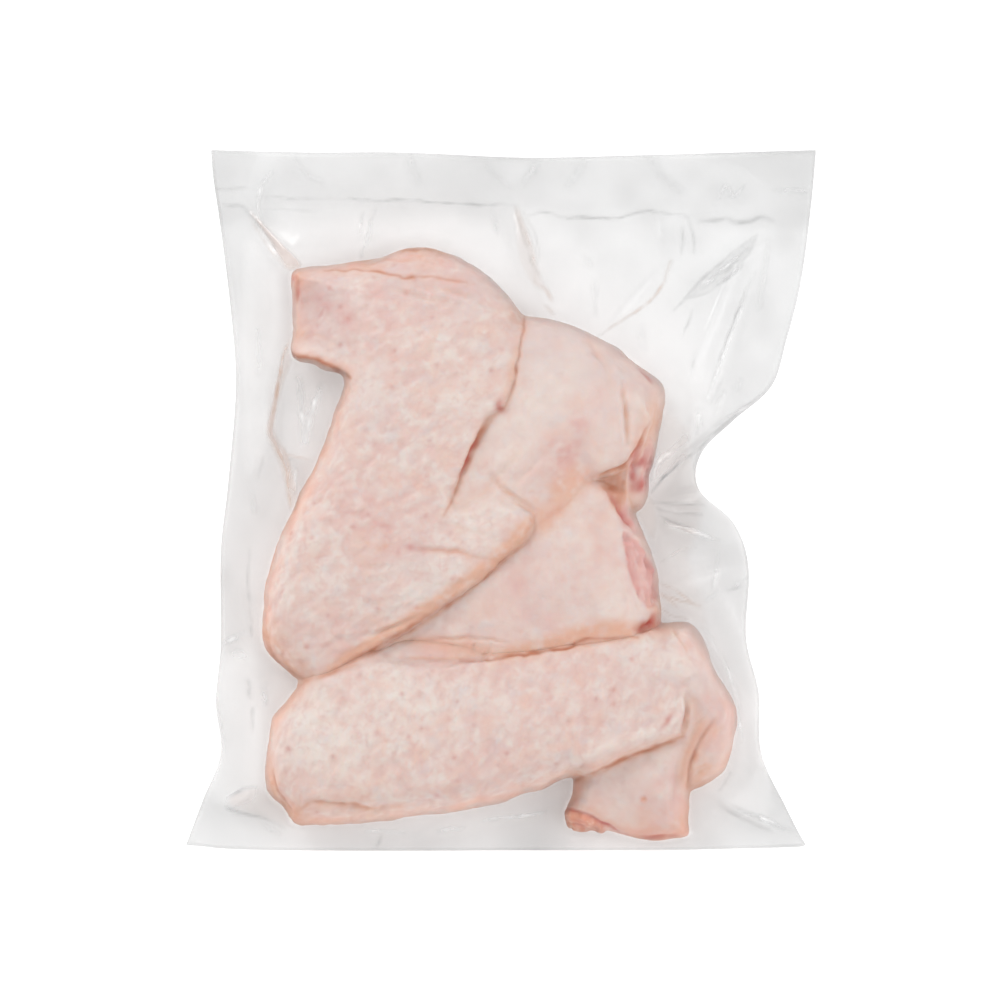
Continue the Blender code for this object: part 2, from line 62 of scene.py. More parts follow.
# The meat's masses: outline, the axis that the two heights belong to, crown, and the radius of
# the edge where the mass meets another.
WING_MASSES = {
    "upper_wing_flat": {
        "outline": [
            (-83.5, 91), (-72, 93), (-60, 95), (-48, 96), (-41, 99.5), (-30, 100), (-22, 98), (-15, 95),
            (-8, 91), (0, 83), (6, 77), (9, 72.5), (8.5, 66), (7, 58), (5.5, 48), (3, 40), (1, 36),
            (-3.5, 33), (-8, 26), (-12.5, 16), (-17, 7), (-20, -1), (-12, -3), (0, -2), (11, -4.5),
            (12, -10), (9, -16), (2, -22), (-5, -28), (-17, -38), (-30, -47), (-44, -56), (-56, -62.5),
            (-68, -69), (-78, -72), (-86, -67), (-93, -61), (-95.5, -53.5), (-95, -42.5), (-91, -23.5),
            (-83.5, -5), (-73.5, 16), (-67, 33), (-62, 46), (-63, 50.5), (-69.5, 52), (-75, 55),
            (-80.5, 55.5), (-84, 59), (-83, 67), (-83, 73), (-83.5, 85)],
        "axis": ((-40, 98), (-78, -72)), "heights": (38, 38), "crown": 9, "crease": 5.5},
    "upper_wing_web": {
        "outline": [
            (4, 68), (9, 73), (19, 72), (29.5, 69), (40, 64), (48, 59.5), (56, 53), (62, 46.5), (64.5, 41),
            (62, 35), (59, 30), (54, 21.5), (50.5, 15.5), (42.5, 11.5), (36.5, 9.5), (31.5, 4), (27, -3.5),
            (18.5, -13.5), (8, -21), (0, -26), (-10, -32), (-24, -38), (-36, -30), (-34, -10), (-28, 10),
            (-16, 34), (-8, 52), (-4, 62)],
        "axis": ((35, 65), (-55, -60)), "heights": (38, 34), "crown": 4, "crease": 6},
    "upper_wing_shoulder": {
        "outline": [
            (50, 52), (62, 46.5), (64.5, 41), (65, 35), (63, 27), (61, 18), (59, 10), (58.5, 2), (55, -4),
            (48.5, -3), (40.5, 3), (34, 9), (34, 20), (44, 34), (46, 44)],
        "axis": ((60, 45), (44, 2)), "heights": (33, 29), "crown": 0, "crease": 3.5},
    "upper_wing_drumette": {
        "outline": [
            (30, 12), (36.5, 8), (42, 6), (48, 2), (52, -4), (55.5, -10), (58, -16.5), (60.5, -24),
            (62, -31), (63, -39), (63.5, -46), (62, -52), (52.5, -58), (40, -60.5), (33, -61), (28, -62),
            (15.5, -64.5), (2.5, -66), (-8.5, -66), (-21, -64.5), (-36, -64.5), (-50, -65), (-60, -68),
            (-70, -66), (-62, -54), (-40, -34), (-20, -14), (0, 2), (16, 12)],
        "axis": ((60, -20), (-50, -65)), "heights": (36, 31), "crown": 5, "crease": 8},
    "lower_wing_skin_fold": {
        "outline": [
            (-46.5, -58), (-40.5, -56.5), (-31.5, -55.5), (-21, -55), (-13, -54.5), (-5.5, -55), (1, -56.5),
            (-1, -62), (-8.5, -64), (-21, -67), (-37, -68), (-50, -70), (-56.5, -65.5)],
        "axis": ((-42, -60), (0, -60)), "heights": (36, 38), "crown": 0, "crease": 3.5},
    "lower_wing_tuck": {
        "outline": [
            (-79, -69), (-72, -60), (-62, -55), (-54, -55), (-50, -62), (-56, -72), (-68, -78), (-79, -78),
            (-81, -74)],
        "axis": ((-84, -70), (-44, -60)), "heights": (36, 39), "crown": 0, "crease": 4.5},
    "lower_wing_flat": {
        "outline": [
            (-78, -72), (-68, -69), (-53, -65.5), (-37, -64.5), (-21, -64.5), (0, -62), (15.5, -60.3),
            (28, -57.8), (40, -56.2), (52.5, -54.7), (59.5, -51), (66.5, -49.5), (75.5, -52), (78, -60),
            (76, -70), (72.5, -79), (73.5, -83.5), (71, -92.5), (69, -93), (58.5, -97), (47.5, -101),
            (37, -106), (29, -110), (21.5, -112.5), (15.5, -115), (10.5, -116), (-1.5, -120), (-17, -124),
            (-33, -126), (-45, -127.5), (-60, -129), (-81.5, -129.5), (-86, -123.5), (-91, -119),
            (-93.5, -115), (-94, -107), (-93, -95), (-91, -87), (-88, -82.5), (-83, -76.5)],
        "axis": ((-92, -108), (76, -70)), "heights": (36, 38), "crown": 7, "crease": 4.5},
    "lower_wing_elbow": {
        "outline": [
            (45, -62), (59.5, -51.5), (66.5, -50), (74.5, -50), (77, -54), (80.5, -59), (85, -67),
            (89, -74.5), (92.5, -80.5), (94, -85), (93.5, -93), (91.5, -102), (89, -108.5), (85, -111),
            (79.5, -114), (73, -116), (71.5, -110), (72, -106), (73.5, -100), (76, -94), (78, -88),
            (76, -82), (67.5, -78), (52, -72)],
        "axis": ((66, -50), (86, -112)), "heights": (37, 31), "crown": 2, "crease": 3.5},
    "lower_wing_cut_end": {
        "outline": [
            (29, -111), (28, -117), (25.5, -121.5), (25.5, -128), (29.5, -131.5), (40, -131.5),
            (50, -134.5), (61.5, -136), (71, -135), (76, -133.5), (75, -129), (75, -116), (75.5, -108),
            (76.5, -104), (78.5, -99), (82, -92), (85.5, -87), (88, -78), (78, -70), (62, -80), (48, -90),
            (36, -100)],
        "axis": ((82, -78), (52, -134)), "heights": (36, 28), "crown": 0, "crease": 3},
}
OUTER_RADIUS = 14.0
EDGE_WOBBLE = 0.9
CREASE_REACH = 8.0
CREASE_OVERLAP = 3.4
RIDGE_PASSES = 8

# Where the outer edge is thinner and sharper than elsewhere: place, reach and radius.
SHARP_EDGES = [((-80, 60), 22, 1.0), ((-66, 52), 14, 1.0), ((-84, 86), 14, 2.5), ((50, -133), 22, 3.0),
               ((-92, -114), 14, 9.0), ((60, 10), 12, 6.0), ((-90, -66), 12, 8.0),
               ((64, -46), 9, 6.0), ((80, -114), 9, 6.0), ((-30, 100), 14, 8.0)]
CROWN_RADIUS = 36.0
CROWN_SHARE = 0.2
UNDERSIDE_RADIUS = 12.0
UNDERSIDE_CREASE_RADIUS = 5.0
MEAT_FLOOR = 0.45

# Where the meat's ends are pressed thinner: place, reach and drop.
THIN_ENDS = [((-89, 70), 22, 18.0), ((52, -136), 20, 7.0), ((-94, -118), 14, 6.0),
             ((62, 6), 14, 6.0), ((82, -116), 12, 8.0), ((-94, -62), 12, 6.0),
             ((-30, 102), 14, 6.0), ((66, 38), 10, 4.0)]

# Where the skin runs on from one mass to the next with no crease: place, reach, width of blend.
SKIN_BRIDGES = [((-8, 3), 12, 9.0), ((76, -62), 12, 9.0), ((88, -80), 8, 8.0), ((-46, -66), 10, 6.0),
                ((6, 56), 13, 2.5), ((62, 45), 8, 6.0)]
LEAST_BLEND = 0.6

# Lines in the skin, by mask: strength, depth (less than 0 for a ridge), half width and points.
SKIN_LINES = {
    # Tan lines: tan skin, partly painted shade on rounded edges, steps and folds.
    "tan": [
        (0.9, 0.0, 2.0, [(7.6, 73), (7.2, 66), (5.8, 58), (4.2, 48), (1.8, 40), (0.5, 37)]),
        (0.8, 0.0, 1.7, [(2, 38), (-3.5, 33), (-6.5, 29), (-9, 24), (-11, 20), (-14, 13), (-17, 6),
            (-20, -1), (-22.5, -6)]),
        (0.7, 0.0, 1.3, [(-72, 91), (-58, 91), (-48.5, 90), (-40, 88), (-32, 88), (-24, 87), (-12, 85)]),
        (0.6, 0.2, 0.8, [(-56, 94), (-44, 95), (-34, 95), (-22, 92)]),
        (1.3, 0.0, 1.4, [(-44, 98), (-36, 99.5), (-28, 99), (-19, 96.5)]),
        (0.35, 0.7, 1.2, [(-30, 84), (-18, 82), (-8, 78), (0, 74)]),
        (0.3, 0.6, 1.1, [(-44, 84), (-30, 80), (-16, 77)]),
        (0.4, 1.0, 1.6, [(7, 19), (2, 13), (-2.5, 8), (-6, 4), (-11, 1.5), (-17, -2.5)]),
        (0.9, 1.1, 1.0, [(-4, 9), (1.5, 4), (4, 2.5), (7, 0), (9.5, -2), (13, -4)]),
        (1.0, 0.0, 1.3, [(4, 2), (9.5, -0.5), (12.5, -4), (12.8, -9), (10, -15), (3, -21), (-8, -30),
            (-20, -39), (-34, -49)]),
        (0.9, 0.5, 1.1, [(-31, -19.5), (-24, -20), (-18, -20), (-12, -22), (-4, -23.5)]),
        (0.3, 0.6, 1.3, [(-22, -10), (-14, -12), (-6, -14), (0, -16)]),
        (0.6, 1.0, 0.8, [(-54, -53.5), (-49, -53), (-45, -51), (-40, -49), (-33, -46)]),
        (1.2, 1.2, 0.9, [(48, 46), (49, 37), (49.5, 30), (49.5, 22)]),
        (0.8, 0.0, 2.0, [(60, 33), (55, 24), (52, 18), (49.5, 14.5), (44, 12), (38, 10)]),
        (0.6, 0.3, 0.6, [(67, -50.5), (70.5, -55), (73.2, -60)]),
        (0.7, 0.1, 0.8, [(-54, -15.5), (-51.5, -17.5)]),
        (0.6, 0.1, 0.8, [(-49, -18.5), (-47, -20.5)]),
        (0.9, 0.7, 0.6, [(-33, -56), (-21, -55), (-13, -54.5), (-5.5, -55), (3, -56.5)]),
        (0.8, 0.8, 0.6, [(-9, -55.5), (-11, -58), (-10.5, -62)]),
        (0.6, 0.6, 0.6, [(-4, -56), (-5, -60), (-8, -63)]),
        (1.0, 0.0, 2.0, [(-78, -72), (-68, -68), (-60, -63), (-50, -57), (-40, -51)]),
        (1.0, 0.8, 1.6, [(-80, -123), (-74, -119.5), (-61, -120.5), (-50, -122), (-38, -121)]),
        (0.8, 0.0, 1.8, [(73, -93.5), (62, -98), (50, -102), (38, -106.5), (28, -111.5)]),
        (0.9, 0.0, 1.3, [(85, -86), (80, -94), (77.5, -100), (75, -106), (74, -116)]),
        (1.2, 0.2, 1.6, [(-92, -102), (-91.3, -111), (-89.3, -117.3), (-85.3, -122), (-80.5, -127)]),
        (0.5, 0.6, 0.8, [(75, -95), (77, -90), (81, -85)]),
        (0.8, 0.4, 0.8, [(30, -121), (36, -123.5), (42, -127), (48, -131)]),
        (1.2, 0.0, 1.4, [(-84.5, 59), (-80, 56.6), (-75, 56), (-70, 53.6), (-65, 51.6), (-60, 48.5)]),
        (0.8, 0.0, 1.2, [(-81.5, 72), (-81.5, 66), (-82, 61)]),
        (0.4, 0.15, 0.7, [(-82, 65), (-74, 65.5), (-66, 62)]),
        (0.25, 0.8, 1.6, [(36, 62), (42, 52), (44, 44)]),
        (0.25, 0.7, 1.6, [(18, 20), (8, 9), (2, 6)]),
    ],
    # Brown lines: dark crease colour, partly painted shade in the creases.
    "brown": [
        (0.9, 0.5, 0.5, [(9, 73), (8.5, 66), (7, 58), (5.5, 48), (3, 40), (1.5, 37)]),
        (1.0, 0.4, 0.6, [(1, 36.5), (-3.5, 33), (-6.5, 29), (-9, 24), (-11, 20), (-14, 13), (-17, 6),
            (-20, -1), (-22.5, -6)]),
        (1.4, 0.4, 1.0, [(-5, 31), (-9, 24), (-11, 20), (-14, 13), (-16.5, 7)]),
        (0.9, 0.12, 0.5, [(-70, 91), (-58, 91), (-48.5, 90), (-40, 88), (-32, 88), (-24, 87), (-14, 85.5)]),
        (0.6, 0.1, 0.6, [(-42, 99), (-34, 99.5), (-24, 98)]),
        (0.9, 0.3, 0.6, [(13.5, -6), (12.5, -14), (5, -21), (-5, -29), (-17, -39), (-30, -48), (-44, -57),
            (-56, -63.5)]),
        (1.2, 0.6, 0.8, [(58.5, 31), (55, 24), (52, 18), (49.5, 14.5), (44, 12), (38, 10)]),
        (0.8, 0.8, 1.8, [(40, 8), (43.5, 4), (46, -1)]),
        (1.0, 0.5, 0.6, [(50, 15), (44, 12), (38, 10)]),
        (1.0, 0.0, 2.0, [(61, -46), (59, -49), (57, -50.5), (54, -51.5)]),
        (0.8, 0.6, 0.7, [(60, -49), (57.5, -51), (55, -52)]),
        (1.4, 0.5, 0.6, [(-16, -63.4), (-3, -62.8), (8, -61.2), (15.5, -60), (22, -59.2), (27.5, -57.6),
            (31, -56.3), (35, -55.4), (45, -55), (54, -54.4)]),
        (0.9, 0.2, 0.9, [(-78, -72), (-68, -69), (-62, -65.5), (-53, -60.5), (-45, -56), (-35, -49.5),
            (-26, -44.5), (-17, -38)]),
        (0.5, 0.3, 0.7, [(-80, -123), (-74, -119.5), (-61, -120.5), (-50, -122)]),
        (0.6, 0.9, 0.7, [(72, -78), (73.5, -83.5), (71.5, -92)]),
        (1.1, 0.2, 0.7, [(72, -93.7), (60, -98.4), (48, -102.9), (38, -107.4), (29, -111.8)]),
        (0.8, 0.4, 0.6, [(-90.5, -107), (-89, -113.5), (-86, -118.7), (-81.5, -123.5)]),
        (0.8, 0.3, 0.6, [(-92.6, -55), (-90.5, -62), (-85, -66.5), (-78, -70.4)]),
        (0.9, 0.8, 0.7, [(84, -87), (79.5, -94), (76.5, -100), (74.5, -106), (74, -114)]),
        (1.6, 0.1, 0.8, [(-84.5, 59), (-80, 56.6), (-75, 56), (-70, 53.6), (-65, 51.6), (-60, 48.5)]),
        (0.8, 0.2, 0.7, [(-81.8, 90), (-81.2, 86), (-81.5, 78)]),
    ],
    "red": [
        (1.2, 0.4, 0.6, [(-9, 24), (-11.5, 19), (-14, 13.5), (-16, 9)]),
        (0.7, 0.4, 1.3, [(0.5, 40), (-1.5, 37), (1.5, 34.5)]),
        (0.25, 0.0, 0.9, [(-31, -19.5), (-26, -20), (-20, -20), (-14, -21.5)]),
        (1.1, 0.6, 1.7, [(54, 21), (52.5, 14), (52.5, 9), (53, 4)]),
        (0.6, 0.4, 1.0, [(57, 16), (58, 10), (57, 3)]),
        (0.4, 0.2, 1.0, [(48.5, -15), (50.5, -25), (53.5, -34), (56, -40)]),
        (0.3, 0.3, 0.8, [(56, -20), (59, -28), (61, -36), (61, -43)]),
        (0.8, 0.8, 1.0, [(41, 5), (45, -1), (48, -6), (50.5, -10), (54, -14)]),
        (1.6, 1.3, 1.3, [(60.5, -46), (59.5, -48.5), (57, -50.3), (54.8, -51.2), (53.5, -51)]),
        (0.6, 0.5, 1.3, [(-39, -18.3), (-34, -19), (-29, -19.6)]),
        (0.26, 0.2, 1.3, [(-65, -4.5), (-60, -4.8), (-56, -5.2)]),
        (0.24, 0.2, 1.3, [(-59, -10.5), (-55, -10.8), (-51.5, -10)]),
        (0.32, 0.2, 1.3, [(-49.5, -9), (-46, -10.5), (-41, -11.5)]),
        (0.5, 0.2, 1.0, [(62, -91), (66, -87), (68, -83)]),
        (1.1, 0.7, 0.7, [(26, -122.5), (30, -123.5), (35, -125.5), (41, -128.5), (46, -132)]),
        (0.5, 0.4, 0.5, [(27, -126.2), (32, -127.5), (38, -130)]),
        (0.5, 0.6, 0.7, [(27, -128), (32, -129), (37, -131.5)]),
        (0.6, 0.4, 0.7, [(46, -132.5), (54, -134.5), (62, -135), (70, -134)]),
        (0.8, 0.3, 0.9, [(-81.3, 89), (-80.8, 85), (-81, 80)]),
        (0.35, 0.3, 0.8, [(-69.5, 78), (-72, 73), (-75, 71)]),
        (0.9, 0.3, 0.8, [(55, 51.8), (57.5, 49.4), (59.5, 46.5)]),
    ],
    "orange": [
        (0.6, 0.0, 1.5, [(-64, 93), (-56, 93.5), (-48, 91)]),
        (0.9, 0.0, 1.2, [(-93.6, -40), (-93.4, -52), (-91.8, -60.5), (-88, -64.8), (-82, -68.6),
            (-77, -71)]),
        (1.0, -0.9, 1.2, [(25.5, -125), (30, -127), (36, -129.5), (41, -131.5)]),
        (0.8, 0.3, 0.7, [(50, -132.4), (58, -134), (66, -134), (74, -132)]),
    ],
    # Cream: pale skin and fat, partly painted highlights along ridges and painted light over the shaded
    # roll at the left end.
    "cream_and_painted_light": [
        (0.9, -0.7, 2.0, [(-6, 0), (0, -3), (6, -6), (6, -12)]),
        (1.0, -1.4, 2.0, [(51, 43), (54, 37), (57, 32)]),
        (0.7, -0.8, 0.7, [(50.5, 15.5), (49.5, 9), (48.5, 0)]),
        (0.8, -0.3, 0.9, [(52, -18), (55, -27), (58, -37)]),
        (0.9, -0.7, 0.7, [(49.5, -10.5), (52, -14), (54.5, -17)]),
        (0.6, -0.5, 2.2, [(42, -1), (44, -8), (45, -16), (44, -24)]),
        (0.6, -0.7, 1.8, [(49, -34), (51, -40), (50, -46)]),
        (0.9, -0.5, 0.7, [(65.5, -50.5), (69, -55), (71.7, -60)]),
        (0.9, -0.5, 0.7, [(69.6, -51), (73, -55), (75.5, -59)]),
        (1.4, -1.0, 2.2, [(71, -86), (60, -91), (48, -95.5), (37, -99.5), (24, -105)]),
        (1.0, -0.8, 1.6, [(71.5, -74), (71.5, -80), (70, -87)]),
        (0.8, -0.3, 0.7, [(-89.5, -112), (-87.5, -117), (-84, -121)]),
        (0.6, -0.6, 1.6, [(73, -102), (72, -112), (72, -124)]),
        (1.3, -0.7, 0.7, [(26, -124), (31, -125.5), (37, -128.5)]),
        (1.1, -0.7, 0.6, [(27, -129.5), (32, -130.5), (38, -132)]),
        (1.0, -0.1, 2.2, [(-81, 62), (-75, 60.5), (-69, 58), (-62, 54.5)]),
        (0.6, -0.7, 2.6, [(14, 24), (4, 16), (-2, 12)]),
    ],
    "flesh": [
        (1.0, 0.0, 2.6, [(42, 4), (46, -1), (49, -6), (52, -11), (56, -16)]),
        (1.0, 0.5, 1.8, [(44, -131), (54, -132.8), (62, -133.5), (70, -132.5), (75, -131)]),
    ],
    "pink": [
        (0.7, 0.6, 0.9, [(-37, -64), (-29, -65.5), (-20, -64.5), (-8, -63), (0, -63)]),
        (0.9, 0.6, 1.2, [(71, -100), (69, -110), (68.5, -120), (69, -130)]),
    ],
}
LINE_WOBBLE = 0.45

# Soft bumps of the meat: place, reach and height.
SWELLS = [((40, 28), 11, 2.6), ((37, 18), 6, 1.6), ((20, 42), 16, 1.2), ((30, 16), 6, -1.2),
          ((-60, -98), 22, 1.0), ((20, -84), 20, 1.0), ((-30, 60), 18, 1.0), ((-74, 76), 9, -1.0),
          ((-45, 30), 14, 1.0), ((-60, -20), 16, 0.8), ((20, -32), 16, 1.2), ((62, -66), 10, 0.9),
          ((84, -96), 8, 1.2), ((58, -112), 9, 1.2), ((-20, 94), 10, 0.8), ((-10, 70), 10, 0.8),
          ((-40, -40), 10, 0.9), ((-6, -28), 8, 0.6), ((30, -44), 12, -0.8), ((-74, -40), 12, 0.7)]

# Soft round patches of each mask's colour: place, reach and strength.
SKIN_PATCHES = {
    "lilac": [
        ((-74, 78), 20, 0.9), ((-40, 92), 16, 0.9), ((-14, 86), 14, 0.9), ((20, 66), 18, 1.0),
        ((40, 57), 14, 1.0), ((-34, -22), 14, 0.5), ((-24, -34), 10, 0.6), ((-50, 40), 14, 0.4),
        ((60, -66), 14, 0.4), ((86, -72), 15, 1.0), ((86, -79), 12, 1.3), ((-70, 70), 5, 1.2),
        ((20, -40), 14, 0.5), ((56, 48), 10, 0.6), ((15, 12), 8, 0.8), ((-65, 82), 5, 0.8),
    ],
    "pink": [
        ((-76, 78), 14, 0.6), ((-50, 70), 20, 0.4), ((-86, -48), 12, 0.15), ((-64, -58), 14, 0.5),
        ((-52, -4), 14, 0.55), ((-44, -16), 12, 0.6), ((25.5, 18), 8, 1.4), ((32, 12), 6, 0.8),
        ((38, 40), 7, 0.4), ((30.5, 29), 5, 1.0), ((90, -84), 9, 0.8), ((-78, 84), 4, 1.0),
        ((-62, 74), 5, 0.9), ((40, -24), 12, 0.4), ((6, -46), 12, 0.4), ((-28, -61), 8, 0.9),
        ((-14, -60), 7, 0.6), ((28, -76), 14, 0.35), ((-86, -118), 12, 0.5), ((86, -92), 10, 0.6),
        ((60, -124), 14, 0.5), ((50, -104), 12, 0.4), ((-20, 90), 14, 0.5), ((0, -104), 22, 0.4),
        ((18, -30), 16, 0.3), ((84, -62), 10, 0.5), ((-36, 96), 8, 0.6), ((14, 13), 8, 0.3),
        ((-50, 80), 6, 0.8), ((6, -34), 6, 0.7), ((31, -38), 5, 0.6), ((18, -49), 5, 0.6),
        ((74, -58), 5, 0.6), ((82, -78), 4, 0.6), ((62, -112), 5, 0.6), ((40, -120), 4, 0.5),
        ((72, -128), 8, 0.9), ((70, -110), 7, 0.6), ((44, -116), 8, 0.3),
    ],
    "red": [
        ((25.5, 18.5), 5.5, 0.2), ((30.5, 29), 2.5, 0.1), ((22, 9), 4, 0.1), ((57.2, -50), 2.0, 0.6),
        ((-73, 80), 2.0, 0.2), ((52.5, 13), 2.4, 0.6), ((52, 5), 2.0, 0.5), ((-56, -5), 2.4, 0.14),
        ((-62, -4), 2.2, 0.1), ((-45, -12), 2.2, 0.16), ((-50, -10), 1.6, 0.1), ((-70, 76), 3, 0.12),
        ((-61, 70), 3, 0.1), ((-76, 65), 2.5, 0.14), ((61, -49), 2.5, 0.6), ((-83, 88), 2.0, 0.5),
        ((56, 15), 4.0, 0.55), ((55, 6), 4.0, 0.5),
    ],
    # Brown patches: partly painted shade in the hook's cavity and the shoulder's hollow.
    "brown": [
        ((57, -50.5), 2.6, 0.8), ((44.5, 4), 3.0, 0.9),
    ],
    # Tan patches: tan skin, partly painted shade on the turned-down edges.
    "tan": [
        ((88, -80), 10, 0.15), ((-80, 66), 4, 0.5), ((-88, -62), 5, 0.6), ((-90, -112), 5, 0.6),
        ((-46, -18), 1.8, 0.5), ((16, 10), 9, 0.15), ((-94, -58), 9, 0.8), ((-86, -69), 8, 0.9),
        ((-90, -116), 6, 0.5), ((-84, -126), 8, 0.8), ((-82, 88), 5, 0.8), ((63, 32), 8, 0.8),
        ((63, -44), 5, 0.7), ((77, -112), 5, 0.7), ((58, -134), 12, 0.4), ((-52, 93), 6, 0.5),
        ((80, -106), 4, 0.9), ((27, -127), 4, 0.7), ((-30, 99), 8, 0.5), ((46, 3), 6, 0.7),
        ((60, -42), 3, 0.4), ((-60, -127), 16, 0.3), ((6, 74), 6, 0.4),
    ],
    "orange": [
        ((-83, -126), 4.5, 0.5), ((-94, -54), 4, 0.45), ((56.5, -118.5), 1.1, 0.8), ((36, -128), 5.0, 0.5),
    ],
    # Cream patches: pale skin, partly painted light over shaded places such as the cut end.
    "cream_and_painted_light": [
        ((56, -106), 12, 0.6), ((44, -114), 8, 0.5), ((-72, -36), 10, 0.5), ((-38, -27), 10, 0.5),
        ((-58, 86), 4, 0.5), ((-70, 70), 3, 0.5), ((20, -28), 6, 0.7), ((4, -50), 6, 0.6),
        ((30, -14), 6, 0.6), ((84, -66), 5, 0.5), ((50, -122), 5, 0.6), ((22, 46), 18, 0.5),
        ((6, 20), 12, 0.7), ((12, 36), 12, 0.6), ((-20, -28), 12, 0.8), ((-10, -10), 10, 0.8),
        ((-34, -38), 9, 0.9), ((-10, 40), 14, 0.5), ((-70, -92), 20, 0.9), ((-36, -78), 18, 0.6),
        ((40, -40), 12, 0.5), ((72, -64), 9, 0.9), ((-20, 66), 12, 0.4), ((-58, 46), 9, 0.5),
        ((37, 18), 6, 0.7), ((58, -62), 10, 0.5),
    ],
}
RED_SPOTS = [(-32, -76.5), (-23.5, -77.5), (-31.5, -86), (-39.5, -83.5), (-39.5, -92), (-49, -92),
             (-20.5, -86), (11.5, -105), (-61.5, -78.5), (-70, -86)]
SKIN_PATCHES["red"] += [(place, 1.5, 0.22) for place in RED_SPOTS]

# Areas of each mask's colour: strength, softness of the edge and outline.
SKIN_AREAS = {
    "flesh": [
        (1.0, 1.2, [(48, -12), (54.5, -17.5), (59, -24), (61.5, -30), (62.5, -38), (60, -43), (55.5, -41),
            (52, -32.5), (49, -21.5)]),
        (0.7, 1.2, [(52.5, 18), (55.5, 24), (60.5, 24), (60, 12), (58, 3), (52.5, 5), (51, 12)]),
    ],
    "orange": [
        (1.0, 1.0, [(25, -122.5), (31.5, -124), (39, -127), (42, -131), (39.5, -133), (29.5, -133),
            (25, -129)]),
    ],
    # Tan areas: painted shade on rounded edges, in hollows and below steps, partly tan skin.
    "tan": [
        (0.75, 6.0, [(29.5, 15), (36.5, 9.5), (28.5, -3), (19, -13), (13, -14), (12.5, -3), (17.5, 6)]),
        (1.0, 1.6, [(50, 15), (38, 10), (40, 3), (46, -7), (49.5, 0), (50, 8)]),
        (0.9, 4.5, [(-6, -61), (6, -56), (16, -53.5), (30, -49), (42, -47), (54, -48), (57, -52), (54, -56),
            (40, -57), (28, -59.5), (15.5, -62), (2, -64)]),
        (1.0, 3.5, [(13, -6), (13, -12), (9, -18), (-5, -29), (-30, -48), (-56, -64), (-68, -69),
            (-67, -63.5), (-46, -50), (-22, -34), (-2, -19), (7, -8.5)]),
        (0.4, 2.5, [(27, -110.5), (29, -106), (46, -100), (64, -93), (70, -95), (50, -103)]),
        (0.5, 2.5, [(50, -134), (56, -129.5), (66, -128), (74, -124), (74.5, -133)]),
    ],
    # Brown area: partly painted shade in the shoulder's hollow.
    "brown": [
        (0.55, 2.0, [(49, 13), (42, 8), (42, 3), (46.5, -6), (48.5, 0), (49, 7)]),
    ],
    "pink": [
        (1.0, 4.0, [(56, -133), (60, -124), (68, -116), (74, -118), (74.5, -132)]),
    ],
}

# Relief of the skin: goose skin, feather follicles, long swells and fine roughness.
GOOSE_HEIGHT = 0.42
FOLLICLE_TRIES = 9000
FOLLICLE_CELL = 9
FOLLICLE_GAP = 6.0
FOLLICLE_RADIUS = 1.7
FOLLICLE_HEIGHT = 0.22
PIT_RADIUS = 0.8
PIT_SHARE = 1.6
PORE_RADIUS = 1.0
DARK_PORES = (0.62, 1.0)
SWELL_HEIGHT = 0.5
CUT_ROUGHNESS = 1.5
FINE_ROUGHNESS = 0.12
LIP_PLACE = 2.4
LIP_SHARE = 0.3
# Painted shade in the creases: how strongly tan and brown are painted where two masses meet.
CREASE_SHADE_TAN = 0.75
CREASE_SHADE_BROWN = 0.55
# How far the peach rim reaches in from the outer edge; the rim is partly painted light that lightens the
# shaded side walls.
RIM_DEPTH = 7.0

# Standing folds of the film: start, end, half width and height.
FILM_FOLDS = [
    ((-100, 114), (-80, 92), 2.4, 2.6),
    ((6, 116), (18, 76), 2.2, 2.8),
    ((62, 92), (36, 62), 2.4, 2.6),
    ((64, 114), (67, 92), 2.2, 2.2),
    ((106, 104), (76, 86), 2.8, 3.2),
    ((96, 100), (76, 52), 2.4, 2.4),
    ((84, 26), (62, 6), 2.2, 2.8),
    ((82, 4), (60, 0), 2.2, 2.6),
    ((90, -14), (62, -9), 2.2, 2.4),
    ((92, -26), (64, -34), 2.4, 2.6),
    ((-92, 52), (-92, 20), 2.4, 2.2),
    ((-104, -36), (-97, -64), 2.2, 2.2),
    ((-112, -124), (-96, -112), 2.4, 2.6),
    ((108, -132), (80, -116), 2.4, 2.8),
    ((-36, -136), (-20, -126), 2.2, 2.0),
]
FOLD_WIDTH_SHARE = 0.6
FOLD_HEIGHT_SHARE = 0.5

